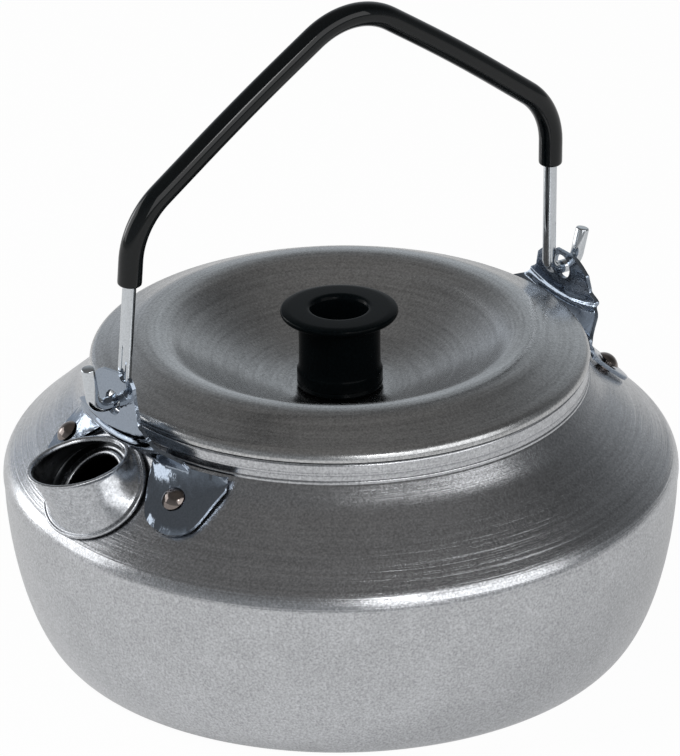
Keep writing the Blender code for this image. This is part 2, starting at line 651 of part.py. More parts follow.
def make_bail(steel, plastic):
    """Wire and sleeve under an empty on the pivot line, leaning as the kettle is stored."""
    pivot = bpy.data.objects.new("bail_pivot", None)
    bpy.context.scene.collection.objects.link(pivot)
    pivot.location = PIVOT
    pivot.rotation_euler.x = BAIL_LEAN
    hook = [HOOK_CORNER, LEG_CORNER]
    corners = [REAR_HOOK_END] + hook + grip_corners() + mirrored_x([FRONT_HOOK_END] + hook)
    grip_bends = [GRIP_BEND, BOW_BEND, GRIP_BEND, BOW_BEND, GRIP_BEND]
    bends = [HOOK_BEND] * 2 + grip_bends + [HOOK_BEND] * 2
    path = rounded_path(corners, bends, HOOK_STEPS + GRIP_STEPS + HOOK_STEPS)
    wire = new_object("bail_wire", tube("bail_wire", path, WIRE_RADIUS, 8), steel)
    leg = (Vector(GRIP_CORNER) - Vector(LEG_CORNER)) / (GRIP_CORNER[1] - LEG_CORNER[1])
    low = Vector(LEG_CORNER) + leg * SLEEVE_LOW
    corners = [tuple(low)] + grip_corners() + [(-low.x, low.y)]
    path = rounded_path(corners, grip_bends, GRIP_STEPS)
    sleeve_mesh = tube("bail_sleeve", path, SLEEVE_RADIUS, 10, WIRE_RADIUS + GAP)
    sleeve = new_object("bail_sleeve", sleeve_mesh, plastic)
    for piece in (wire, sleeve):
        piece.parent = pivot


def make_lid(aluminium, plastic, steel):
    """Lid and knob pieces under an empty on the line along which the lid lifts."""
    lift = bpy.data.objects.new("lid_lift", None)
    bpy.context.scene.collection.objects.link(lift)
    pieces = [turned("lid", lid_outline(), LID_STEPS, aluminium, closed=True)]
    pieces += make_knob_parts(plastic, steel)
    for piece in pieces:
        piece.parent = lift


def main():
    for old in list(bpy.data.objects):
        bpy.data.objects.remove(old)
    aluminium = material("spun_aluminium", (0.56, 0.57, 0.58), 0.38, 1.0)
    chrome = material("plated_steel", (0.62, 0.64, 0.67), 0.18, 1.0)
    rivet_metal = material("rivet_metal", (0.55, 0.52, 0.48), 0.3, 1.0)
    black = material("black_plastic", (0.012, 0.012, 0.013), 0.3, 0.0)
    make_body(aluminium)
    make_spout(aluminium)
    make_brackets(chrome)
    make_rivets(rivet_metal)
    make_lid(aluminium, black, chrome)
    make_bail(chrome, black)


main()
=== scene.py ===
from math import atan2, cos, hypot, pi, radians, sin, tan

import bmesh
import bpy
from mathutils import Matrix, Vector


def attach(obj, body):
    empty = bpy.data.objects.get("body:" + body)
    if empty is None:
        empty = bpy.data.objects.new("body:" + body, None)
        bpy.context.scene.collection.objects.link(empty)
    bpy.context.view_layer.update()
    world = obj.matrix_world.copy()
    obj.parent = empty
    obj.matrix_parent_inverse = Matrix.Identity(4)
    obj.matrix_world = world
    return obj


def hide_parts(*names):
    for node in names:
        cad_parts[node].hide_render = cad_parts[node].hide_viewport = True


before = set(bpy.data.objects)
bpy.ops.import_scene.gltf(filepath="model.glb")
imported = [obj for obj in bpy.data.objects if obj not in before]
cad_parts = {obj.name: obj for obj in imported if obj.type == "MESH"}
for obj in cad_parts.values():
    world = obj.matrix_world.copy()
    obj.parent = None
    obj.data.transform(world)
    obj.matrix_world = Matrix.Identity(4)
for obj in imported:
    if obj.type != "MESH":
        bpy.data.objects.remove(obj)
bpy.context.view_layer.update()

MM = 0.001

# Camera, from the photograph: degrees round and above the kettle, its roll, distance and aim
CAMERA_TURN = radians(-34.72)
CAMERA_RISE = radians(25.23)
CAMERA_ROLL = radians(-0.68)
CAMERA_DISTANCE = 1.1
CAMERA_AIM = Vector((0.0, 0.0, 58.3)) * MM
CAMERA_LENS = 237.3
CAMERA_CLIP = (0.01, 50.0)

# Reflected studio tent: sine of the height over the floor, brightness there, and its warmth
TENT_LEVELS = ((0.0, 0.34, -0.03), (0.45, 0.27, -0.03), (0.70, 0.15, 0.0), (1.0, 0.17, 0.03))
# Its even brightness for matt surfaces
TENT_SOFT = 0.27
# Its dark side and two glows: degrees round from +X, degrees up, how tight and how strong
DARK_SIDE = (-14.0, 28.0, 7.0, 0.62)
GLOWS = (
    ((88.0, -6.0, 14.0, 0.34), (0.80, 0.92, 1.10)),
    ((46.0, 18.0, 12.0, 0.27), (0.90, 1.0, 1.08)),
)
# Lamps: degrees round from +X and above the floor, distance, width and height, brightness
SOFTBOXES = {
    "right_softbox": (277.0, 26.0, 1.0, (1.24, 0.62), 1.5),
    "left_softbox": (133.0, 17.0, 1.0, (0.74, 0.54), 1.6),
    "bright_window": (254.0, 37.0, 1.0, (0.13, 0.13), 8.0),
    "fold_strip": (114.0, 7.0, 1.0, (0.3, 0.36), 3.0),
    "high_key": (160.0, 50.0, 1.1, (0.4, 0.4), 8.0),
}
# The lamp that metal doesn't mirror
UNSEEN_LAMP = "high_key"

# Floor: half its width, its grey, and how white reflections and the camera see it
FLOOR_REACH = 4.0
FLOOR_GREY = 0.8
FLOOR_MIRRORED = 0.36
FLOOR_SEEN = 0.97

# Heights between which the body's rings grow deep, and between which they fade again
RINGED_HEIGHTS = (38.0 * MM, 42.0 * MM, 47.0 * MM, 55.0 * MM)
# How shallow the rings are below and above those heights
RINGS_LOW, RINGS_HIGH = 0.1, 0.25
# Colour, roughness, depth of the rings, depth of the grain, anisotropy, heights of the rings
SPUN_METALS = {
    "body_aluminium": ((0.57, 0.58, 0.60), 0.24, 110e-6, 13e-6, 0.25, RINGED_HEIGHTS),
    "lid_aluminium": ((0.57, 0.575, 0.58), 0.25, 7e-6, 8e-6, 0.3),
    "spout_aluminium": ((0.53, 0.545, 0.57), 0.27, 2e-6, 7e-6, 0.0),
    # Near-black aluminium: painted shade for the spout's dim inside, not a real dull finish
    "painted_shade_aluminium": ((0.10, 0.105, 0.11), 0.30, 4e-6, 3e-6, 0.0),
}
# Colour, roughness, depth of the ripple
PLATINGS = {
    "bright_plating": ((0.33, 0.38, 0.45), 0.07, 170e-6),
    "wire_plating": ((0.66, 0.69, 0.72), 0.05, 8e-6),
    "rivet_plating": ((0.25, 0.215, 0.20), 0.12, 20e-6),
}
# Colour, roughness, depth of the grain, specular level
PLASTICS = {
    "knob_plastic": ((0.0015, 0.0025, 0.003), 0.17, 4e-6, 0.04),
    "sleeve_plastic": ((0.0015, 0.0025, 0.003), 0.06, 1e-6, 0.35),
}

# Width of the rings, grain and clouds on aluminium, and each one's share in its tint
RING_WIDTH = 0.8 * MM
GRAIN_WIDTH = 0.48 * MM
CLOUD_WIDTH = 9.0 * MM
RING_SHARE, GRAIN_SHARE, CLOUD_SHARE = 0.35, 0.5, 0.10
# Darkest and lightest tint of aluminium, against its own colour
TINT_DARK, TINT_LIGHT = 0.58, 1.42
# Width of the patches in which aluminium is rougher or smoother, and by how much
SPUN_PATCHES, SPUN_ROUGHER = 1.2 * MM, 0.03
# Plating: width of its pits, its ripple and its rougher patches, and its darkest tint
PIT_WIDTH, RIPPLE_WIDTH, PLATED_PATCHES, PLATED_DARK = 0.35 * MM, 3.5 * MM, 1.6 * MM, 0.86
# Plastic: width of its grain and its rougher patches, and its lightest tint
MOTTLE_WIDTH, MOULDED_PATCHES, MOULDED_LIGHT = 0.5 * MM, 3.0 * MM, 1.9

# Steps round the body and lid, round the spout's hole, and round a rivet's hole
ROUND_STEPS, SPOUT_HOLE_STEPS, RIVET_HOLE_STEPS = 256, 96, 32

# Gap between touching pieces
GAP = 0.3 * MM

# Body shell
BODY_RADIUS = 75.0 * MM
BASE_RADIUS = 64.07 * MM
WALL_TOP_Z = 36.0 * MM
WALL_TOP_RADIUS = 74.77 * MM
WALL_POWER = 1.18
SHOULDER_EDGE_Z = 40.77 * MM
SHOULDER_EDGE_ROUND = 6.4 * MM
COLLAR_RADIUS = 54.87 * MM
COLLAR_FOOT_Z = 59.26 * MM
COLLAR_TOP_Z = 63.96 * MM
SHEET = 1.2 * MM
SHOULDER_SLOPE = atan2(SHOULDER_EDGE_Z - COLLAR_FOOT_Z, BODY_RADIUS - COLLAR_RADIUS)
SLOPE_COS = cos(SHOULDER_SLOPE)
SLOPE_SIN = -sin(SHOULDER_SLOPE)
# Rings round the collar in mm: height over its foot and how far each stands out or lies in
COLLAR_RINGS = (
    (2.75, 0.0), (2.55, 0.06), (2.3, 0.12), (2.05, 0.06), (1.85, 0.0), (0.95, 0.0), (0.88, -0.14),
    (0.78, -0.14), (0.7, 0.05), (0.55, 0.16), (0.35, 0.2), (0.2, 0.2), (0.12, 0.08), (0.02, 0.08),
)
# Cove at the shoulder's top: slopes of its steep and its easy part, how far out they end, how
# far out the one takes to turn into the other, where the cove starts, and its steps
COVE_SLOPES = (1.20, 0.84)
COVE_ENDS = (2.0 * MM, 8.4 * MM)
COVE_TURN = 3.0 * MM
COVE_START = (0.25 * MM, 0.1 * MM)
COVE_STEP = 0.2 * MM

# Lid
LID_RADIUS = 55.1 * MM
LID_LOW_Z = COLLAR_TOP_Z + GAP
LID_SHEET = 1.0 * MM
SKIRT_RADIUS = 53.2 * MM
SKIRT_LOW_Z = 58.8 * MM
RIM_TOP_Z = 66.3 * MM
RIM_ROUND = 1.75 * MM
CREST_RADIUS = 40.6 * MM
CREST_Z = 71.9 * MM
# Where the dish rounds over into the crest, how high it bends there, and where the band begins
CREST_START = 35.0 * MM
CREST_BEND = (39.8 * MM, 72.6 * MM)
BAND_TOP = (45.6 * MM, 70.25 * MM)
BAND_SAG = 0.12 * MM
LID_EDGE = Vector((LID_RADIUS, RIM_TOP_Z - 0.25 * MM))
DISH_FLOOR_RADIUS = 11.0 * MM
DISH_FLOOR_Z = 57.0 * MM
DISH_POWER = 1.55

# Knob and its screw, washer and nut
KNOB_TOP_Z = 75.63 * MM
KNOB_RADIUS = 13.03 * MM
STEM_RADIUS = 9.05 * MM
KNOB_FOOT_TOP_Z = 61.0 * MM
KNOB_FOOT_OUT = 0.45 * MM
KNOB_RECESS_RADIUS = 6.1 * MM
KNOB_RECESS_FLOOR_Z = 66.5 * MM
SCREW_RADIUS = 2.0 * MM
SCREW_HEAD_RADIUS = 3.6 * MM
SCREW_HEAD_HEIGHT = 2.4 * MM
SCREW_SLOT_WIDTH = 1.0 * MM
SCREW_SLOT_DEPTH = 1.1 * MM
SCREW_END_Z = 50.6 * MM
SCREW_PITCH = 0.7 * MM
SCREW_HOLE_RADIUS = SCREW_RADIUS + GAP
WASHER_RADIUS = 5.0 * MM
WASHER_THICK = 1.0 * MM
NUT_ACROSS_FLATS = 7.0 * MM
NUT_THICK = 3.2 * MM

# Spout
SPOUT_PLACE = 13.0 * MM
SPOUT_FOOT = (11.35 * MM, 13.3 * MM)
SPOUT_MOUTH = (11.27 * MM, 9.18 * MM)
MOUTH_CENTRE = Vector((-68.3, 0.0, 57.4)) * MM
MOUTH_TILT = radians(7.5)
SPOUT_NECK_RADIUS = 9.0 * MM
SPOUT_NECK_WALL = 0.8 * MM
SPOUT_WAIST = 0.5 * MM
SPOUT_STEPS = 48
SPOUT_TURNS = [2 * pi * i / SPOUT_STEPS for i in range(SPOUT_STEPS)]
# Rows of the inside's faces that make up its wall in painted shade, and the first row down the
# neck in painted shade
SPOUT_WALL_ROWS = 9
SPOUT_NECK_ROW = 15

# Brackets
PLATE_SHEET = 0.9 * MM
PLATE_LEAN = 0.05
PLATE_FLARE_POWER = 1.6
PLATE_HOLE_RADIUS = 2.8 * MM
# Fold: how far its bead stands out, its rise at the sides, where the plate begins to bend, and
# its round part, as distance inwards from the bead and height above it
FOLD_OUT = 0.4 * MM
FOLD_RISE = 2.2 * MM
FOLD_BEND = 2.8 * MM
FOLD_ROUND = ((0.35 * MM, 1.35 * MM), (0.95 * MM, 0.35 * MM))
NOTCH_PLACE = 3.8 * MM
NOTCH_WIDTH = 3.6 * MM
NOTCH_DEPTH = 1.1 * MM
WEB_FOOT_RADIUS = 56.3 * MM
WEB_FOOT_ANGLE = radians(20.6)
WEB_BULGE = 0.9 * MM
RELIEF_REACH = 0.62
RELIEF_SLOPE = 0.16
RELIEF_RISE = 0.42
EAR_TOP_RADIUS = 55.9 * MM
EAR_RISE = 1.1 * MM
EAR_RISE_REACH = 0.5
EDGE_ROUND = 0.3 * MM
# Angle from the bracket's middle, and how far out from the kettle's middle the ear reaches there
LONG_EAR = (
    (9.8, 56.4), (11.5, 59.4), (13.1, 62.2), (14.6, 64.6), (16.4, 66.0), (19.1, 66.8),
    (22.4, 66.9), (25.2, 65.5), (26.6, 63.6), (28.0, 60.6), (29.6, 57.9),
)
SHORT_EAR = (
    (10.9, 56.4), (13.3, 59.4), (15.0, 62.2), (16.4, 64.4), (18.3, 65.7), (20.2, 65.6),
    (21.8, 64.2), (22.8, 62.2), (23.5, 59.9), (23.9, 57.6),
)
# Places across the web, from one side to its middle
WEB_PLACES = (
    -1.0, -0.95, -0.9, -0.84, -0.78, -0.72, -0.66, -0.6, -0.54, -0.48, -0.4, -0.3, -0.2, -0.1,
)
# Rows of an ear, as shares of the way from the collar's foot to its outline
EAR_SHARES = (0.0, 0.12, 0.25, 0.4, 0.55, 0.7, 0.85, 1.0)
FRONT_STANCE = {
    "out": 59.3 * MM, "half": 7.3 * MM, "flare": 5.4 * MM, "top": 76.7 * MM,
    "tilt": 1.2 * MM, "corner": 0.6, "drop": 2.6 * MM, "fold": 62.5 * MM,
}
REAR_STANCE = {
    "out": 61.2 * MM, "half": 8.7 * MM, "flare": 3.7 * MM, "top": 73.4 * MM,
    "tilt": 0.0, "corner": 0.35, "drop": 3.2 * MM, "fold": 61.5 * MM,
}

# Rivets
RIVET_PLACE_RADIUS = 61.2 * MM
RIVET_PLACE_ANGLE = radians(19.4)
RIVET_SHANK_RADIUS = 1.5 * MM
RIVET_HEAD_RADIUS = 2.6 * MM
RIVET_HEAD_HEIGHT = 1.4 * MM
RIVET_CAP_HEIGHT = 1.3 * MM
RIVET_TAIL_RADIUS = 2.5 * MM
RIVET_TAIL_HEIGHT = 1.4 * MM
RIVET_HOLE_RADIUS = RIVET_SHANK_RADIUS + GAP

# Bail
PIVOT = Vector((0.0, -0.9, 69.6)) * MM
BRACKET_TURN = PIVOT.y / FRONT_STANCE["out"]
BAIL_LEAN = radians(4.0)
WIRE_RADIUS = 1.5 * MM
FRONT_HOOK_END = (66.1 * MM, 10.0 * MM)
REAR_HOOK_END = (66.1 * MM, 8.4 * MM)
HOOK_CORNER = (64.4 * MM, 0.0)
HOOK_BEND = 3.2 * MM
LEG_CORNER = (57.05 * MM, 0.0)
GRIP_CORNER = (55.1 * MM, 41.3 * MM)
GRIP_APEX = (0.0, 79.85 * MM)
GRIP_BOW = 0.9 * MM
GRIP_BEND = 18.0 * MM
BOW_BEND = 500.0 * MM
HOOK_STEPS = [12, 12]
GRIP_STEPS = [20, 6, 20, 6, 20]
SLEEVE_RADIUS = 2.65 * MM
SLEEVE_LOW = 27.3 * MM


# Meshes

def new_object(name, data, finish=None):
    made = bpy.data.objects.new(name, data)
    bpy.context.scene.collection.objects.link(made)
    if finish:
        data.materials.append(finish)
    return made


def shade(mesh, sharp):
    mesh.shade_smooth()
    mesh.set_sharp_from_angle(angle=radians(sharp))


def mesh_from(name, points, faces, sharp=38.0):
    mesh = bpy.data.meshes.new(name)
    mesh.from_pydata([tuple(point) for point in points], [], faces)
    shade(mesh, sharp)
    return mesh


def band_faces(count, steps, closed):
    """Faces between each of so many rings of points and the next."""
    faces = []
    for i in range(count if closed else count - 1):
        low, high = i * steps, (i + 1) % count * steps
        for j in range(steps):
            k = (j + 1) % steps
            faces.append((low + k, low + j, high + j, high + k))
    return faces


def plain_mesh(name, shape):
    """The mesh that a bmesh holds. The bmesh is freed."""
    mesh = bpy.data.meshes.new(name)
    shape.to_mesh(mesh)
    shape.free()
    return mesh


def stand_at(place, up):
    """The transform that carries a thing to a place and turns its Z along a direction."""
    return Matrix.Translation(place) @ up.to_track_quat("Z", "Y").to_matrix().to_4x4()


def arc(centre, radius, start, end, count):
    """Points of an arc, from one angle in degrees to another."""
    turns = [radians(start + (end - start) * i / count) for i in range(count + 1)]
    return [(centre[0] + radius * cos(turn), centre[1] + radius * sin(turn)) for turn in turns]


def bent(start, corner, end, count, first=0):
    """Points of a curve drawn towards a corner on its way from start to end."""
    points = []
    for step in range(first, count + 1):
        share = step / count
        points.append(tuple(start.lerp(corner, share).lerp(corner.lerp(end, share), share)))
    return points


def softened(outline, radius, count=4, closed=False):
    """The outline with each of its corners rounded, by less where the sides are short."""
    total = len(outline)
    rounded = []
    for i, (x, z) in enumerate(outline):
        if not closed and i in (0, total - 1):
            rounded.append((x, z))
            continue
        here = Vector((x, z))
        back = Vector(outline[i - 1]) - here
        ahead = Vector(outline[(i + 1) % total]) - here
        reach = min(radius, back.length * 0.45, ahead.length * 0.45)
        start, end = here + back.normalized() * reach, here + ahead.normalized() * reach
        rounded += bent(start, here, end, count)
    return rounded


def turned(name, outline, steps, closed=False, sharp=38.0):
    """A mesh from an outline of (radius, height) turned round Z. It runs down its outer side."""
    points = []
    rings = []
    for radius, height in outline:
        if radius < 1e-7:
            rings.append([len(points)])
            points.append((0.0, 0.0, height))
            continue
        rings.append(range(len(points), len(points) + steps))
        for j in range(steps):
            turn = 2 * pi * j / steps
            points.append((radius * cos(turn), radius * sin(turn), height))
    faces = []
    pairs = list(zip(rings, rings[1:]))
    if closed:
        pairs.append((rings[-1], rings[0]))
    for high, low in pairs:
        for j in range(steps):
            k = (j + 1) % steps
            if len(high) == 1:
                faces.append((high[0], low[j], low[k]))
            elif len(low) == 1:
                faces.append((high[j], low[0], high[k]))
            else:
                faces.append((high[j], low[j], low[k], high[k]))
    return mesh_from(name, points, faces, sharp)


def round_tool(radius, reach, place, direction, steps=64):
    """A round cutter along a direction, reaching as far on each side of its place."""
    shape = bmesh.new()
    bmesh.ops.create_cone(
        shape, cap_ends=True, segments=steps, radius1=radius, radius2=radius, depth=2 * reach,
    )
    tool = new_object("tool", plain_mesh("tool", shape))
    tool.matrix_world = stand_at(place, direction)
    return tool


def shaped(name, mesh, joins=(), cuts=(), bevel=0.0):
    """The mesh with others joined to it and cut from it, and its sharp edges rounded."""
    body = new_object(name + "_blank", mesh)
    for tools, operation in ((joins, "UNION"), (cuts, "DIFFERENCE")):
        for tool in tools:
            step = body.modifiers.new("Shape", "BOOLEAN")
            step.operation = operation
            step.solver = "EXACT"
            step.object = tool
    if bevel:
        step = body.modifiers.new("Round", "BEVEL")
        step.width = bevel
        step.segments = 3
        step.limit_method = "ANGLE"
        step.angle_limit = radians(50.0)
    seen = body.evaluated_get(bpy.context.evaluated_depsgraph_get())
    result = bpy.data.meshes.new_from_object(seen)
    result.name = name
    for used in [body, *joins, *cuts]:
        bpy.data.objects.remove(used)
    return result


def smooth_line(points, steps):
    """A smooth line through all the points, with this many steps between each two."""
    line = []
    last = len(points) - 1
    for i in range(last):
        before, here = points[max(i - 1, 0)], points[i]
        ahead, after = points[i + 1], points[min(i + 2, last)]
        for step in range(steps):
            t = step / steps
            line.append(
                here + (ahead - before) * (t / 2)
                + (before * 2 - here * 5 + ahead * 4 - after) * (t ** 2 / 2)
                + (here * 3 - before - ahead * 3 + after) * (t ** 3 / 2)
            )
    line.append(points[-1])
    return line


def dress(name, mesh, finish, body, node):
    """A finished piece that stands for a node, and moves with its body."""
    mesh.materials.clear()
    made = new_object(name, mesh, finish)
    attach(made, body)
    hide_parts(node)
    return made


# Material nodes

def put(tree, socket, value):
    """The socket takes a value, or a link where the value is another node's socket."""
    if isinstance(value, bpy.types.NodeSocket):
        tree.links.new(value, socket)
    else:
        socket.default_value = value


def add_node(tree, kind, **values):
    """A node whose inputs of these names take values or links."""
    node = tree.nodes.new(kind)
    for name, value in values.items():
        put(tree, node.inputs[name], value)
    return node


def math_node(tree, operation, *values):
    node = tree.nodes.new("ShaderNodeMath")
    node.operation = operation
    for socket, value in zip(node.inputs, values):
        put(tree, socket, value)
    return node.outputs[0]


def mixed(tree, share, first, second):
    node = tree.nodes.new("ShaderNodeMixShader")
    for socket, output in zip(node.inputs, (share, first, second)):
        tree.links.new(output, socket)
    return node.outputs[0]


class Recipe:
    """A material and short calls that add its nodes."""

    def __init__(self, name, colour, roughness, metallic):
        self.material = bpy.data.materials.new(name)
        self.material.use_nodes = True
        self.tree = self.material.node_tree
        self.shader = self.tree.nodes["Principled BSDF"]
        self.set("Base Color", (*colour, 1.0))
        self.set("Roughness", roughness)
        self.set("Metallic", metallic)
        self.places = self.add("ShaderNodeTexCoord").outputs["Object"]

    def set(self, name, value):
        put(self.tree, self.shader.inputs[name], value)

    def add(self, kind, **values):
        return add_node(self.tree, kind, **values)

    def math(self, operation, *values):
        return math_node(self.tree, operation, *values)

    def times(self, first, second):
        return self.math("MULTIPLY", first, second)

    def axes(self):
        """The places' three measures, along X, Y and Z."""
        return self.add("ShaderNodeSeparateXYZ", Vector=self.places).outputs

    def noise(self, size, detail=2.0, places=None, rough=0.5):
        """Noise whose spots are about this wide, from 0 to 1."""
        places = places or self.places
        node = self.add(
            "ShaderNodeTexNoise", Vector=places, Scale=1.0 / size, Detail=detail, Roughness=rough,
        )
        return node.outputs["Fac"]

    def spread(self, value, low, high, start=0.0, end=1.0):
        """The value carried from one range to another and held within it."""
        node = self.add("ShaderNodeMapRange", Value=value)
        for socket, number in zip(node.inputs[1:5], (low, high, start, end)):
            socket.default_value = number
        return node.outputs[0]

    def tint(self, share, first, second):
        node = self.add("ShaderNodeMix", Factor=share)
        node.data_type = "RGBA"
        colours = [socket for socket in node.inputs if socket.type == "RGBA"]
        colours[0].default_value = (*first, 1.0)
        colours[1].default_value = (*second, 1.0)
        return next(socket for socket in node.outputs if socket.type == "RGBA")

    def round_places(self, stretch):
        """Places as distance from the axis, height, and the way round it by a stretch."""
        x, y, z = self.axes()
        out = self.math("SQRT", self.math("ADD", self.times(x, x), self.times(y, y)))
        way = self.times(self.math("ARCTAN2", y, x), stretch)
        return self.add("ShaderNodeCombineXYZ", X=out, Y=z, Z=way).outputs[0]

    def bump(self, height, depth, **under):
        node = self.add("ShaderNodeBump", Strength=1.0, Distance=depth, Height=height, **under)
        return node.outputs[0]

    def patchy(self, width, smooth, rough):
        """Patches of this width that are smoother or rougher than the rest."""
        patches = self.spread(self.noise(width, 3.0), 0.3, 0.7, smooth, rough)
        self.set("Roughness", patches)


def spun_metal(name, colour, roughness, lines, grain, anisotropy, ringed=None):
    """Aluminium spun and brushed round the axis: fine rings, satin grain and faint cloudiness."""
    recipe = Recipe(name, colour, roughness, 1.0)
    rings = recipe.noise(RING_WIDTH, 4.0, recipe.round_places(1.0 * MM), 0.6)
    if ringed:
        low, high, full, end = ringed
        height = recipe.axes()[2]
        rise = recipe.spread(height, low, high, RINGS_LOW, 1.0)
        fall = recipe.spread(height, full, end, 1.0, RINGS_HIGH)
        middle = recipe.math("SUBTRACT", rings, 0.5)
        rings = recipe.math("ADD", recipe.times(middle, recipe.times(rise, fall)), 0.5)
    fine = recipe.noise(GRAIN_WIDTH)
    clouds = recipe.noise(CLOUD_WIDTH, 3.0)
    share = recipe.math("ADD", recipe.times(fine, GRAIN_SHARE), recipe.times(clouds, CLOUD_SHARE))
    share = recipe.math("ADD", share, recipe.times(rings, RING_SHARE))
    dark = tuple(value * TINT_DARK for value in colour)
    light = tuple(min(value * TINT_LIGHT, 1.0) for value in colour)
    recipe.set("Base Color", recipe.tint(recipe.spread(share, 0.3, 0.7), dark, light))
    recipe.patchy(SPUN_PATCHES, roughness - SPUN_ROUGHER, roughness + SPUN_ROUGHER)
    recipe.set("Anisotropic", anisotropy)
    tangent = recipe.add("ShaderNodeTangent")
    tangent.direction_type = "RADIAL"
    tangent.axis = "Z"
    recipe.set("Tangent", tangent.outputs[0])
    recipe.set("Normal", recipe.bump(fine, grain, Normal=recipe.bump(rings, lines)))
    return recipe.material


def plated_metal(name, colour, roughness, ripple):
    """Bright plating over rolled sheet or drawn wire: mirror-like, with a ripple and pits."""
    recipe = Recipe(name, colour, roughness, 1.0)
    fine = recipe.noise(PIT_WIDTH, 3.0)
    broad = recipe.noise(RIPPLE_WIDTH)
    dark = tuple(value * PLATED_DARK for value in colour)
    recipe.set("Base Color", recipe.tint(recipe.spread(fine, 0.35, 0.6), dark, colour))
    recipe.patchy(PLATED_PATCHES, roughness * 0.7, roughness * 1.5)
    recipe.set("Normal", recipe.bump(fine, ripple * 0.12, Normal=recipe.bump(broad, ripple)))
    return recipe.material


def moulded_plastic(name, colour, roughness, grain, gloss):
    """Black plastic with a soft gloss, faint mottling and a little wear."""
    recipe = Recipe(name, colour, roughness, 0.0)
    recipe.set("Specular IOR Level", gloss)
    fine = recipe.noise(MOTTLE_WIDTH, 3.0)
    light = tuple(value * MOULDED_LIGHT for value in colour)
    recipe.set("Base Color", recipe.tint(recipe.spread(fine, 0.4, 0.75), colour, light))
    recipe.patchy(MOULDED_PATCHES, roughness * 0.8, roughness * 1.25)
    recipe.set("Normal", recipe.bump(fine, grain))
    return recipe.material


# Body shell

def inset_outline(outline, depth):
    """The outline moved by a depth to its right-hand side, which is inside where it runs down."""
    moved = []
    for i, (radius, height) in enumerate(outline):
        before = outline[max(i - 1, 0)]
        after = outline[min(i + 1, len(outline) - 1)]
        run, rise = after[0] - before[0], after[1] - before[1]
        length = hypot(run, rise)
        moved.append((max(radius + depth * rise / length, 0.0), height - depth * run / length))
    return moved


def shoulder_normal(angle):
    return Vector((cos(angle) * SLOPE_SIN, sin(angle) * SLOPE_SIN, SLOPE_COS))


def shoulder_point(angle, radius, above=0.0):
    """A point of the shoulder at an angle round Z and a radius, raised square to its surface."""
    height = COLLAR_FOOT_Z - (radius - COLLAR_RADIUS) * SLOPE_SIN / SLOPE_COS
    foot = Vector((radius * cos(angle), radius * sin(angle), height))
    return foot + shoulder_normal(angle) * above


def wall_outline():
    """The shoulder's edge and the bellied wall down to the middle of the base."""
    turn = pi / 2 + SHOULDER_SLOPE
    reach = SHOULDER_EDGE_ROUND * tan(turn / 2)
    centre = (BODY_RADIUS - SHOULDER_EDGE_ROUND, SHOULDER_EDGE_Z - reach)
    outline = arc(centre, SHOULDER_EDGE_ROUND, turn * 180.0 / pi, 0.0, 14)
    belly = WALL_TOP_RADIUS - BASE_RADIUS
    for step in range(37):
        swing = radians(90.0 * step / 36)
        outline.append((
            BASE_RADIUS + belly * cos(swing) ** WALL_POWER,
            WALL_TOP_Z * (1.0 - sin(swing) ** WALL_POWER),
        ))
    outline.append((0.0, 0.0))
    return outline


def body_outline():
    """Outer side of the shell from the collar's lip to the middle of the base."""
    lip = SHEET / 2
    outline = arc((COLLAR_RADIUS - lip, COLLAR_TOP_Z - lip), lip, 90.0, 0.0, 6)
    for height, out in COLLAR_RINGS:
        outline.append((COLLAR_RADIUS + out * MM, COLLAR_FOOT_Z + height * MM))
    along, height = COVE_START[0], COLLAR_FOOT_Z - COVE_START[1]
    steep, easy = COVE_SLOPES
    while along < COVE_ENDS[1]:
        outline.append((COLLAR_RADIUS + along, height))
        past = min(max((along - COVE_ENDS[0]) / COVE_TURN, 0.0), 1.0)
        height -= COVE_STEP * (steep + (easy - steep) * past * past * (3.0 - 2.0 * past))
        along += COVE_STEP
        if height > COLLAR_FOOT_Z + along * tan(SHOULDER_SLOPE) and past > 0.5:
            break
    return outline + wall_outline()


def body_inside():
    """Inner side of the shell, from the middle of its floor up to the collar's lip."""
    inner = inset_outline(wall_outline(), SHEET)
    inner[-2] = (inner[-2][0], SHEET)
    inner[-1] = (0.0, SHEET)
    collar = COLLAR_RADIUS - SHEET
    foot = COLLAR_FOOT_Z - SHEET * tan(-SHOULDER_SLOPE / 2)
    return inner[::-1] + [(collar, foot), (collar, COLLAR_TOP_Z - SHEET / 2)]


def rivet_hole(angle, reach):
    """A cutter for a rivet's hole at an angle round Z."""
    place = shoulder_point(angle, RIVET_PLACE_RADIUS)
    return round_tool(RIVET_HOLE_RADIUS, reach, place, shoulder_normal(angle), RIVET_HOLE_STEPS)


def make_body(finish):
    outline = body_inside() + body_outline()
    reach = 8.0 * MM
    hole = SPOUT_NECK_RADIUS + SPOUT_NECK_WALL + GAP
    cuts = [round_tool(hole, reach, spout_centre(), shoulder_normal(pi), SPOUT_HOLE_STEPS)]
    cuts += [rivet_hole(angle, reach) for angle in rivet_angles().values()]
    mesh = shaped("kettle_shell", turned("blank", outline, ROUND_STEPS), cuts=cuts)
    dress("kettle_shell", mesh, finish, "kettle", "body_shell")


# Spout

def spout_centre():
    return shoulder_point(pi, COLLAR_RADIUS + SPOUT_PLACE * SLOPE_COS)


def on_shoulder(along, across, above):
    """A point over the shoulder, square to it at the spout, at a height above its surface."""
    down = Vector((-SLOPE_COS, 0.0, -SLOPE_SIN))
    square = shoulder_normal(pi)
    point = spout_centre() + down * along + Vector((0.0, across, 0.0))
    for _ in range(4):
        outward = hypot(point.x, point.y) - COLLAR_RADIUS
        height = (point.z - COLLAR_FOOT_Z) * SLOPE_COS + outward * SLOPE_SIN
        point = point + square * (above - height)
    return point


def foot_ring(half_along, half_across, above):
    return [
        on_shoulder(half_along * cos(turn), half_across * sin(turn), above) for turn in SPOUT_TURNS
    ]


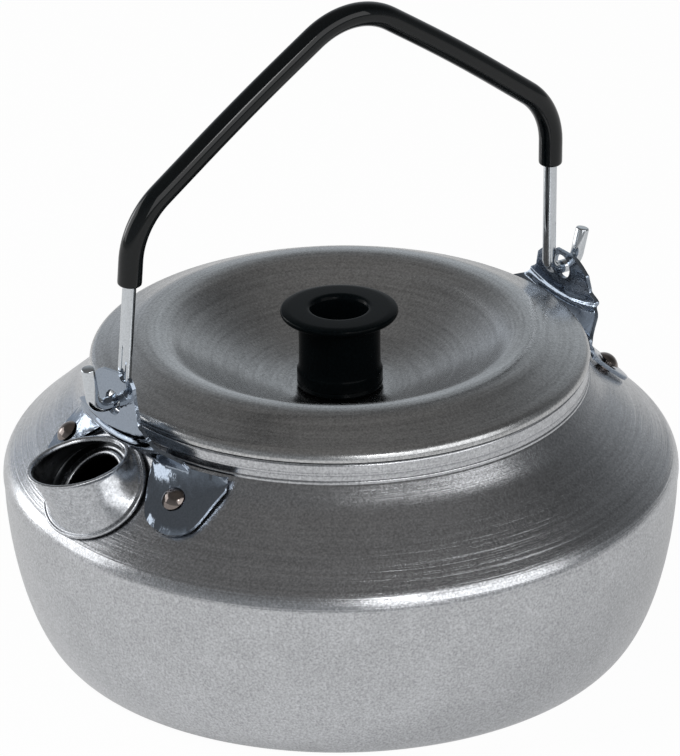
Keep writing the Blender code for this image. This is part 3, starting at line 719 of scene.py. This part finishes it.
def mouth_ring(grow, rise):
    level = Vector((-cos(MOUTH_TILT), 0.0, -sin(MOUTH_TILT)))
    up = Vector((-sin(MOUTH_TILT), 0.0, cos(MOUTH_TILT)))
    long = level * (SPOUT_MOUTH[0] + grow)
    short = Vector((0.0, SPOUT_MOUTH[1] + grow, 0.0))
    centre = MOUTH_CENTRE + up * rise
    return [centre + long * cos(turn) + short * sin(turn) for turn in SPOUT_TURNS]


def between_rings(low, high, share, waist):
    """A ring part of the way from one ring to another, drawn in a little to its own middle."""
    ring = [a.lerp(b, share) for a, b in zip(low, high)]
    middle = sum(ring, Vector()) / len(ring)
    pull = waist * sin(pi * share)
    return [point + (middle - point).normalized() * pull for point in ring]


def make_spout(finish, inside_painted_shade):
    """A closed band of rings: up outside, over the lip, down inside and under the shoulder."""
    along, across = SPOUT_FOOT
    bead = [
        (1.0, 0.3), (1.25, 0.42), (1.3, 0.75), (1.15, 1.1), (0.8, 1.2), (0.5, 1.02), (0.2, 1.1),
        (0.1, 1.3),
    ]
    rings = [foot_ring(along + out * MM, across + out * MM, above * MM) for out, above in bead]
    outer_low, outer_high = rings[-1], mouth_ring(-0.1 * MM, -0.4 * MM)
    shares = [step / 8 for step in range(1, 8)]
    rings += [between_rings(outer_low, outer_high, share, SPOUT_WAIST) for share in shares]
    rings.append(outer_high)
    lip = [(0.18, -0.12), (0.4, 0.08), (0.36, 0.4), (0.05, 0.52), (-0.35, 0.46), (-0.6, 0.2)]
    rings += [mouth_ring(grow * MM, rise * MM) for grow, rise in lip]
    inner_high = mouth_ring(-0.85 * MM, -0.4 * MM)
    inner_low = foot_ring(along - 1.1 * MM, across - 1.1 * MM, 1.4 * MM)
    inside_start = len(rings)
    rings.append(inner_high)
    for share in reversed(shares):
        rings.append(between_rings(inner_low, inner_high, share, SPOUT_WAIST))
    rings.append(inner_low)
    neck, outside = SPOUT_NECK_RADIUS, SPOUT_NECK_RADIUS + SPOUT_NECK_WALL
    under = -(SHEET + GAP)
    bend = [
        (0.5, 0.85), (0.0, 0.8), (-0.3, 1.15), (-0.9, 1.35), (-1.5, 1.15), (-1.7, 0.6),
        (-1.2, -0.2), (0.0, -0.8),
    ]
    tuck = [(neck + out * MM, above * MM) for out, above in bend]
    tuck += [
        (neck, under - 0.5 * MM), (neck + 0.4 * MM, under - SPOUT_NECK_WALL),
        (neck + 2.0 * MM, under - SPOUT_NECK_WALL), (neck + 2.0 * MM, under),
        (outside, under), (outside, GAP),
    ]
    rings += [foot_ring(radius, radius, above) for radius, above in tuck]
    points = [point for ring in rings for point in ring]
    faces = band_faces(len(rings), SPOUT_STEPS, closed=True)
    mesh = mesh_from("pouring_spout", points, faces, 180.0)
    spout = dress("pouring_spout", mesh, finish, "kettle", "spout")
    # The second material, near-black aluminium, is painted shade on the inside's wall and deep
    # neck
    mesh.materials.append(inside_painted_shade)
    for face in mesh.polygons:
        row = face.index // SPOUT_STEPS - inside_start
        face.material_index = int(0 <= row < SPOUT_WALL_ROWS or row >= SPOUT_NECK_ROW)
    smooth = spout.modifiers.new("Smooth", "SUBSURF")
    smooth.levels = smooth.render_levels = 2


# Lid and knob

def dish_height(radius):
    """Height of the dish's upper side between its floor and the foot of the crest."""
    rim_radius, rim_height = CREST_RADIUS - 1.2 * MM, CREST_Z - 0.6 * MM
    share = max(radius - DISH_FLOOR_RADIUS, 0.0) / (rim_radius - DISH_FLOOR_RADIUS)
    return DISH_FLOOR_Z + (rim_height - DISH_FLOOR_Z) * share ** DISH_POWER


def lid_top():
    """Upper side of the lid from its screw hole over the crest to the rim."""
    top = [(SCREW_HOLE_RADIUS, DISH_FLOOR_Z), (DISH_FLOOR_RADIUS * 0.6, DISH_FLOOR_Z)]
    for step in range(33):
        radius = DISH_FLOOR_RADIUS + (CREST_START - DISH_FLOOR_RADIUS) * step / 32
        top.append((radius, dish_height(radius)))
    band = Vector(BAND_TOP)
    top += bent(Vector(top[-1]), Vector(CREST_BEND), band, 14, first=1)
    stop = LID_EDGE + (band - LID_EDGE).normalized() * RIM_ROUND
    for step in range(1, 9):
        share = step / 8
        point = band.lerp(stop, share)
        top.append((point.x, point.y - BAND_SAG * sin(pi * share)))
    return top


def make_lid(finish):
    top = lid_top()
    end = LID_EDGE - Vector((0.0, RIM_ROUND - 0.1 * MM))
    rim = bent(Vector(top[-1]), LID_EDGE, end, 10, first=1)
    skirt, inside = SKIRT_RADIUS, SKIRT_RADIUS - LID_SHEET
    rim += [
        (LID_RADIUS - 0.12 * MM, LID_LOW_Z + 0.06 * MM), (LID_RADIUS - 0.4 * MM, LID_LOW_Z),
        (skirt + 0.2 * MM, LID_LOW_Z), (skirt, LID_LOW_Z - 0.2 * MM),
        (skirt, SKIRT_LOW_Z + 0.3 * MM), (skirt - 0.3 * MM, SKIRT_LOW_Z),
        (skirt - 0.7 * MM, SKIRT_LOW_Z), (inside, SKIRT_LOW_Z + 0.3 * MM),
        (inside, RIM_TOP_Z - 0.6 * MM),
    ]
    under = inset_outline(top, LID_SHEET)[::-1]
    under[-1] = (SCREW_HOLE_RADIUS, DISH_FLOOR_Z - LID_SHEET)
    mesh = turned("lid_shell", top + rim + under, ROUND_STEPS, closed=True)
    dress("lid_shell", mesh, finish, "lid", "lid")


def make_knob(finish):
    """The knob, from its recess over its top, down its stem and foot and up its screw hole."""
    top, base, foot_top = KNOB_TOP_Z, DISH_FLOOR_Z + GAP, KNOB_FOOT_TOP_Z
    waist = top - 3.6 * MM
    well, rim, stem = KNOB_RECESS_RADIUS, KNOB_RADIUS, STEM_RADIUS
    foot = stem + KNOB_FOOT_OUT
    outline = [
        (well, top - 0.9 * MM), (well + 0.55 * MM, top - 0.12 * MM), (well + 1.1 * MM, top),
        (rim - 1.5 * MM, top - 0.05 * MM), (rim - 0.2 * MM, top - 0.35 * MM),
        (rim, top - 0.95 * MM), (rim - 0.25 * MM, top - 1.6 * MM),
        (rim - 1.6 * MM, top - 2.2 * MM), (stem + 0.6 * MM, top - 2.75 * MM), (stem, waist),
        (stem - 0.05 * MM, (waist + foot_top) / 2), (stem, foot_top + 1.5 * MM),
        (stem + 0.15 * MM, foot_top + 0.6 * MM), (foot, foot_top), (foot, base + 1.5 * MM),
        (foot - 0.2 * MM, base + 1.3 * MM), (foot, base + 1.1 * MM), (foot, base + 0.4 * MM),
        (stem + 0.1 * MM, base), (SCREW_HOLE_RADIUS, base),
        (SCREW_HOLE_RADIUS, KNOB_RECESS_FLOOR_Z), (well - 0.2 * MM, KNOB_RECESS_FLOOR_Z),
    ]
    outline = softened(outline, 0.6 * MM, closed=True)
    mesh = turned("lid_knob", outline, 128, closed=True, sharp=60.0)
    dress("lid_knob", mesh, finish, "lid", "knob")


def make_screw(finish):
    """The knob's screw with a domed, slotted head and ridges for its thread."""
    seat = KNOB_RECESS_FLOOR_Z + GAP
    top = seat + SCREW_HEAD_HEIGHT
    low = DISH_FLOOR_Z - LID_SHEET - WASHER_THICK - GAP
    wide = SCREW_HEAD_RADIUS
    outline = [
        (0.0, top), (wide * 0.5, top - 0.1 * MM), (wide * 0.8, top - 0.4 * MM),
        (wide * 0.96, top - 0.9 * MM), (wide, top - 1.4 * MM), (wide, seat),
        (SCREW_RADIUS, seat), (SCREW_RADIUS, low),
    ]
    height = low
    while height > SCREW_END_Z + SCREW_PITCH:
        outline.append((SCREW_RADIUS - 0.3 * MM, height - SCREW_PITCH / 2))
        outline.append((SCREW_RADIUS, height - SCREW_PITCH))
        height -= SCREW_PITCH
    outline += [(SCREW_RADIUS - 0.5 * MM, SCREW_END_Z), (0.0, SCREW_END_Z)]
    shape = bmesh.new()
    size = Matrix.Diagonal((wide * 3, SCREW_SLOT_WIDTH, SCREW_SLOT_DEPTH * 2, 1.0))
    bmesh.ops.create_cube(shape, matrix=Matrix.Translation((0.0, 0.0, top)) @ size)
    slot = new_object("slot", plain_mesh("slot", shape))
    mesh = shaped("slotted_screw", turned("blank", outline, 48), cuts=[slot])
    dress("slotted_screw", mesh, finish, "lid", "knob_screw")


def make_washer_and_nut(finish):
    bore = SCREW_HOLE_RADIUS
    high = DISH_FLOOR_Z - LID_SHEET - GAP
    low = high - WASHER_THICK
    ring = [(bore, high), (WASHER_RADIUS, high), (WASHER_RADIUS, low), (bore, low)]
    mesh = turned("flat_washer", softened(ring, 0.2 * MM, closed=True), 64, closed=True)
    dress("flat_washer", mesh, finish, "lid", "knob_washer")
    high = low - GAP
    low = high - NUT_THICK
    flat = NUT_ACROSS_FLATS / 2
    corner = flat / cos(pi / 6)
    ring = [
        (bore, high), (flat, high), (corner, high - 0.4 * MM),
        (corner, low + 0.4 * MM), (flat, low), (bore, low),
    ]
    mesh = turned("hex_nut", ring, 6, closed=True, sharp=20.0)
    mesh = shaped("hex_nut", mesh, bevel=0.12 * MM)
    dress("hex_nut", mesh, finish, "lid", "knob_nut")


# Brackets and rivets

def bracket_angles():
    """Each bracket's angle round Z: both stand a little to the near side of the middle."""
    return {"front": pi - BRACKET_TURN, "rear": BRACKET_TURN}


def rivet_angles():
    """Each rivet's angle round Z. The front bracket stands over the spout, at -X."""
    middle = bracket_angles()
    return {
        "rivet_front_left": middle["front"] - RIVET_PLACE_ANGLE,
        "rivet_front_right": middle["front"] + RIVET_PLACE_ANGLE,
        "rivet_rear_left": middle["rear"] + RIVET_PLACE_ANGLE,
        "rivet_rear_right": middle["rear"] - RIVET_PLACE_ANGLE,
    }


def thick_sheet(name, grid, thickness):
    """A closed sheet round a grid of middle points, whose rows run down as seen from outside."""
    rows, columns = len(grid), len(grid[0])
    points = []
    for side in (0.5, -0.5):
        for i in range(rows):
            for j in range(columns):
                down = grid[min(i + 1, rows - 1)][j] - grid[max(i - 1, 0)][j]
                across = grid[i][min(j + 1, columns - 1)] - grid[i][max(j - 1, 0)]
                points.append(grid[i][j] + down.cross(across).normalized() * thickness * side)
    back = rows * columns
    faces = []
    for i in range(rows - 1):
        for j in range(columns - 1):
            a, b = i * columns + j, i * columns + j + 1
            c, d = a + columns, b + columns
            faces.append((a, c, d, b))
            faces.append((back + a, back + b, back + d, back + c))
    rim = list(range(columns))
    rim += [i * columns + columns - 1 for i in range(1, rows)]
    rim += [(rows - 1) * columns + j for j in range(columns - 2, -1, -1)]
    rim += [i * columns for i in range(rows - 2, 0, -1)]
    for i, a in enumerate(rim):
        b = rim[(i + 1) % len(rim)]
        faces.append((a, b, back + b, back + a))
    return mesh_from(name, points, faces)


def plate_half_width(height, stance):
    """Half the plate's width at a height: slender at the top, flared to the fold."""
    share = max(stance["top"] - height, 0.0) / (stance["top"] - stance["fold"])
    return stance["half"] + stance["flare"] * share ** PLATE_FLARE_POWER


def plate_out(height, stance):
    return stance["out"] + (PIVOT.z - height) * PLATE_LEAN


def web_column(place, stance):
    """Middle points of plate and web from top to bottom, for a place from -1 to 1 across them."""
    corner = max(abs(place) - stance["corner"], 0.0) / (1.0 - stance["corner"])
    top = stance["top"] + stance["tilt"] * place - stance["drop"] * corner ** 2.0
    fold = stance["fold"] + FOLD_RISE * place ** 2.0
    column = []
    for step in range(5):
        height = top + (fold + FOLD_BEND - top) * step / 4
        across = plate_half_width(height, stance) * place
        column.append(Vector((plate_out(height, stance), across, height)))
    half = plate_half_width(stance["fold"], stance)
    crease = Vector((plate_out(fold, stance) + FOLD_OUT, half * place, fold))
    foot = shoulder_point(WEB_FOOT_ANGLE * place, WEB_FOOT_RADIUS, ear_height(0.04))
    relief = max(0.0, min(1.0, (RELIEF_REACH - abs(place)) / RELIEF_SLOPE))
    foot = foot.lerp(crease, RELIEF_RISE * relief)
    bulge = Vector((0.0, 0.0, WEB_BULGE * place ** 2.0))
    for inward, above in FOLD_ROUND:
        column.append(crease + Vector((-inward, 0.0, above)))
    for share, part in ((0.25, 0.3), (0.6, 0.8), (0.85, 1.0)):
        column.append(crease.lerp(foot, share) + bulge * part)
    column.append(foot)
    return smooth_line(column, 4)


def ear_height(share):
    """How high an ear's middle lies over the shoulder, for a place from its top edge outwards."""
    return GAP + PLATE_SHEET / 2 + EAR_RISE * max(1.0 - share / EAR_RISE_REACH, 0.0) ** 2


def ear_grid(outline, side):
    """Rows of an ear's middle points, from the collar's foot down to its outline."""
    edge = smooth_line([Vector(point) for point in outline], 4)
    grid = []
    for share in EAR_SHARES:
        row = []
        for angle, reach in (edge if side > 0 else edge[::-1]):
            radius = EAR_TOP_RADIUS + (reach * MM - EAR_TOP_RADIUS) * share
            row.append(shoulder_point(side * radians(angle), radius, ear_height(share)))
        grid.append(row)
    return grid


def bracket_mesh(name, stance):
    """A bracket at +X: a web and plate joined to two ears, then pierced and notched."""
    places = [*WEB_PLACES, 0.0] + [-place for place in WEB_PLACES[::-1]]
    columns = [web_column(place, stance) for place in places]
    grid = [list(row) for row in zip(*columns)]
    ears = []
    for side, outline in ((1, LONG_EAR), (-1, SHORT_EAR)):
        ears.append(new_object("ear", thick_sheet("ear", ear_grid(outline, side), PLATE_SHEET)))
    reach = 4.0 * MM
    level = Vector((1.0, 0.0, 0.0))
    top = stance["top"]
    hole = Vector((stance["out"], 0.0, PIVOT.z))
    notch = Vector((plate_out(top, stance), NOTCH_PLACE, top + NOTCH_WIDTH / 2 - NOTCH_DEPTH))
    cuts = [round_tool(PLATE_HOLE_RADIUS, reach, hole, level, 48)]
    cuts.append(round_tool(NOTCH_WIDTH / 2, reach, notch, level, 48))
    cuts += [rivet_hole(angle, reach) for angle in (-RIVET_PLACE_ANGLE, RIVET_PLACE_ANGLE)]
    return shaped(name, thick_sheet("web", grid, PLATE_SHEET), ears, cuts, EDGE_ROUND)


def make_brackets(finish):
    for side, stance in (("front", FRONT_STANCE), ("rear", REAR_STANCE)):
        mesh = bracket_mesh(side + "_bail_bracket", stance)
        mesh.transform(Matrix.Rotation(bracket_angles()[side], 4, "Z"))
        shade(mesh, 50.0)
        dress(side + "_bail_bracket", mesh, finish, "kettle", side + "_bracket")


def make_rivets(finish):
    """Four set rivets: a low domed head, a shank and a tail under the shoulder."""
    seat = GAP + PLATE_SHEET + GAP
    tail = -(SHEET + GAP)
    end = tail - RIVET_TAIL_HEIGHT
    dome = seat + RIVET_HEAD_HEIGHT
    wide, shank, tail_wide = RIVET_HEAD_RADIUS, RIVET_SHANK_RADIUS, RIVET_TAIL_RADIUS
    cap = (wide ** 2 + RIVET_CAP_HEIGHT ** 2) / (2 * RIVET_CAP_HEIGHT)
    outline = [(0.0, dome)]
    for step in range(1, 11):
        radius = (wide - 0.05 * MM) * step / 10
        outline.append((radius, dome - cap + (cap ** 2 - radius ** 2) ** 0.5))
    outline += [
        (wide, seat + 0.1 * MM), (wide - 0.1 * MM, seat), (shank, seat), (shank, tail),
        (tail_wide - 0.1 * MM, tail), (tail_wide, tail - 0.3 * MM),
        (tail_wide - 0.5 * MM, end + 0.1 * MM), (0.0, end),
    ]
    for node, angle in rivet_angles().items():
        name = node.replace("rivet", "set_rivet")
        mesh = turned(name, outline, 48, sharp=50.0)
        place = shoulder_point(angle, RIVET_PLACE_RADIUS)
        mesh.transform(stand_at(place, shoulder_normal(angle)))
        dress(name, mesh, finish, "kettle", node)


# Bail

def rounded_path(corners, bends, counts):
    """A flat path through its corners, each but the ends rounded to its bend radius."""
    spots = [Vector(corner) for corner in corners]
    path = [spots[0]]
    for before, corner, after, bend, count in zip(spots, spots[1:], spots[2:], bends, counts):
        back, ahead = (before - corner).normalized(), (after - corner).normalized()
        opening = back.angle(ahead)
        reach = bend / tan(opening / 2)
        middle = corner + (back + ahead).normalized() * bend / sin(opening / 2)
        start, end = corner + back * reach - middle, corner + ahead * reach - middle
        sweep = start.angle_signed(end)
        for step in range(count + 1):
            path.append(middle + Matrix.Rotation(-sweep * step / count, 2) @ start)
    path.append(spots[-1])
    return path


def mirrored_x(points):
    return [(-x, y) for x, y in points[::-1]]


def grip_corners():
    """Corners of the grip from the right leg over the apex to the left leg, with a slight bow."""
    corner, apex = Vector(GRIP_CORNER), Vector(GRIP_APEX)
    rise = (apex - corner).normalized()
    bow = (corner + apex) / 2 + Vector((-rise.y, rise.x)) * -GRIP_BOW
    right = [GRIP_CORNER, tuple(bow)]
    return right + [GRIP_APEX] + mirrored_x(right)


def tube(name, path, radius, steps, ends, bore=0.0):
    """A round tube along a path in the XZ plane. Ends lists (distance in, radius) from the tip."""
    first, last = (path[1] - path[0]).normalized(), (path[-2] - path[-1]).normalized()
    line = [path[0] + first * reach for reach, size in ends] + path[1:-1]
    line += [path[-1] + last * reach for reach, size in ends[::-1]]
    tip = [size for reach, size in ends]
    sizes = tip + [radius] * (len(path) - 2) + tip[::-1]
    if bore:
        line += line[::-1]
        sizes += [bore] * len(sizes)
    count = len(line)
    half = count // 2 if bore else count
    points = []
    for i, (place, size) in enumerate(zip(line, sizes)):
        at = i if i < half else count - 1 - i
        ahead = line[min(at + 1, half - 1)] - line[max(at - 1, 0)]
        ahead.normalize()
        side = Vector((-ahead.y, ahead.x))
        for j in range(steps):
            turn = 2 * pi * j / steps
            spot = place + side * size * cos(turn)
            points.append((spot.x, size * sin(turn), spot.y))
    faces = band_faces(count, steps, closed=bool(bore))
    if not bore:
        faces.append(tuple(range(steps)))
        faces.append(tuple(range((count - 1) * steps, count * steps))[::-1])
    mesh = mesh_from(name, points, faces, 50.0)
    mesh.transform(Matrix.Translation(PIVOT) @ Matrix.Rotation(BAIL_LEAN, 4, "X"))
    return mesh


def make_bail(steel, plastic):
    hook = [HOOK_CORNER, LEG_CORNER]
    corners = [REAR_HOOK_END] + hook + grip_corners() + mirrored_x([FRONT_HOOK_END] + hook)
    grip_bends = [GRIP_BEND, BOW_BEND, GRIP_BEND, BOW_BEND, GRIP_BEND]
    bends = [HOOK_BEND] * 2 + grip_bends + [HOOK_BEND] * 2
    path = rounded_path(corners, bends, HOOK_STEPS + GRIP_STEPS + HOOK_STEPS)
    cut_end = [
        (0.0, WIRE_RADIUS - 0.35 * MM), (0.08 * MM, WIRE_RADIUS - 0.12 * MM),
        (0.3 * MM, WIRE_RADIUS),
    ]
    mesh = tube("bent_wire", path, WIRE_RADIUS, 32, cut_end)
    dress("bent_wire", mesh, steel, "bail", "bail_wire")
    leg = (Vector(GRIP_CORNER) - Vector(LEG_CORNER)) / (GRIP_CORNER[1] - LEG_CORNER[1])
    low = Vector(LEG_CORNER) + leg * SLEEVE_LOW
    corners = [tuple(low)] + grip_corners() + [(-low.x, low.y)]
    path = rounded_path(corners, grip_bends, GRIP_STEPS)
    soft_end = [
        (0.0, SLEEVE_RADIUS - 0.5 * MM), (0.08 * MM, SLEEVE_RADIUS - 0.2 * MM),
        (0.25 * MM, SLEEVE_RADIUS - 0.05 * MM), (0.6 * MM, SLEEVE_RADIUS),
    ]
    mesh = tube("grip_sleeve", path, SLEEVE_RADIUS, 40, soft_end, WIRE_RADIUS + GAP)
    dress("grip_sleeve", mesh, plastic, "bail", "bail_sleeve")


# Studio

def make_camera():
    back = Vector((
        sin(CAMERA_TURN) * cos(CAMERA_RISE),
        -cos(CAMERA_TURN) * cos(CAMERA_RISE),
        sin(CAMERA_RISE),
    ))
    level = Vector((cos(CAMERA_TURN), sin(CAMERA_TURN), 0.0))
    above = back.cross(level)
    right = level * cos(CAMERA_ROLL) + above * sin(CAMERA_ROLL)
    up = above * cos(CAMERA_ROLL) - level * sin(CAMERA_ROLL)
    camera = new_object("camera", bpy.data.cameras.new("camera"))
    camera.data.lens = CAMERA_LENS
    camera.data.clip_start, camera.data.clip_end = CAMERA_CLIP
    turn = Matrix((right, up, back)).transposed().to_4x4()
    camera.matrix_world = Matrix.Translation(CAMERA_AIM + back * CAMERA_DISTANCE) @ turn
    bpy.context.scene.camera = camera


def heading(turn, rise):
    """The direction at degrees round the kettle from +X and degrees above the floor."""
    turn, rise = radians(turn), radians(rise)
    return Vector((cos(turn) * cos(rise), sin(turn) * cos(rise), sin(rise)))


def make_softbox(name, turn, rise, distance, size, brightness):
    """A rectangular lamp that faces the kettle, at degrees round it and above the floor."""
    lamp = bpy.data.lights.new(name, "AREA")
    lamp.shape = "RECTANGLE"
    lamp.size, lamp.size_y = size
    lamp.energy = brightness * pi * size[0] * size[1]
    made = new_object(name, lamp)
    towards = heading(turn, rise)
    made.matrix_world = stand_at(CAMERA_AIM + towards * distance, towards)
    made.visible_glossy = name != UNSEEN_LAMP


def make_world():
    """A studio tent for reflections: a grey ceiling, a paler horizon, a dark side, two glows."""
    world = bpy.data.worlds.new("studio")
    bpy.context.scene.world = world
    world.use_nodes = True
    tree = world.node_tree
    tree.nodes.clear()
    places = add_node(tree, "ShaderNodeTexCoord").outputs["Generated"]

    def lobe(turn, rise, power, strength):
        """A soft round patch of the tent: strength at its middle, fading outwards."""
        dot = add_node(tree, "ShaderNodeVectorMath")
        dot.operation = "DOT_PRODUCT"
        dot.inputs[1].default_value = heading(turn, rise)
        tree.links.new(places, dot.inputs[0])
        value = dot.outputs["Value"]
        for operation, number in (("MAXIMUM", 0.0), ("POWER", power), ("MULTIPLY", strength)):
            value = math_node(tree, operation, value, number)
        return value

    def background(colour, strength=1.0):
        node = add_node(tree, "ShaderNodeBackground", Color=colour, Strength=strength)
        return node.outputs[0]

    def grey(level):
        return background((level, level, level, 1.0))

    split = add_node(tree, "ShaderNodeSeparateXYZ", Vector=places)
    ramp = add_node(tree, "ShaderNodeValToRGB", Fac=split.outputs["Z"])
    stops = ramp.color_ramp.elements
    while len(stops) < len(TENT_LEVELS):
        stops.new(0.5)
    for stop, (place, level, warmth) in zip(stops, TENT_LEVELS):
        stop.position = place
        stop.color = (level * (1.0 + warmth), level, level * (1.0 - warmth), 1.0)
    tent = mixed(tree, lobe(*DARK_SIDE), background(ramp.outputs[0]), grey(0.0))
    for patch, colour in GLOWS:
        both = add_node(tree, "ShaderNodeAddShader")
        tree.links.new(tent, both.inputs[0])
        tree.links.new(background((*colour, 1.0), lobe(*patch)), both.inputs[1])
        tent = both.outputs[0]
    rays = add_node(tree, "ShaderNodeLightPath").outputs
    lit = mixed(tree, rays["Is Diffuse Ray"], tent, grey(TENT_SOFT))
    shown = mixed(tree, rays["Is Camera Ray"], lit, grey(1.0))
    add_node(tree, "ShaderNodeOutputWorld", Surface=shown)


def make_floor():
    """A pale floor, near white to the camera and lighter in reflections, that keeps the shadow."""
    shape = bmesh.new()
    bmesh.ops.create_grid(shape, x_segments=8, y_segments=8, size=FLOOR_REACH)
    material = bpy.data.materials.new("pale_floor")
    material.use_nodes = True
    tree = material.node_tree
    tree.nodes.clear()
    grey = (FLOOR_GREY, FLOOR_GREY, FLOOR_GREY, 1.0)
    matt = add_node(tree, "ShaderNodeBsdfDiffuse", Color=grey)
    glow = add_node(tree, "ShaderNodeEmission")
    rays = add_node(tree, "ShaderNodeLightPath").outputs
    seen = math_node(tree, "MULTIPLY", rays["Is Camera Ray"], FLOOR_SEEN)
    share = math_node(tree, "MULTIPLY_ADD", rays["Is Glossy Ray"], FLOOR_MIRRORED, seen)
    shown = mixed(tree, share, matt.outputs[0], glow.outputs[0])
    add_node(tree, "ShaderNodeOutputMaterial", Surface=shown)
    floor = new_object("floor", plain_mesh("floor", shape), material)


def main():
    scene = bpy.context.scene
    scene.view_settings.view_transform = "Standard"
    body, lid, spout, painted_shade = [spun_metal(name, *values) for name, values in SPUN_METALS.items()]
    bright, wire, rivet = [plated_metal(name, *values) for name, values in PLATINGS.items()]
    knob, sleeve = [moulded_plastic(name, *values) for name, values in PLASTICS.items()]
    make_body(body)
    make_spout(spout, painted_shade)
    make_lid(lid)
    make_knob(knob)
    make_screw(wire)
    make_washer_and_nut(wire)
    make_brackets(bright)
    make_rivets(rivet)
    make_bail(wire, sleeve)
    make_floor()
    make_world()
    for name, values in SOFTBOXES.items():
        make_softbox(name, *values)
    make_camera()


main()
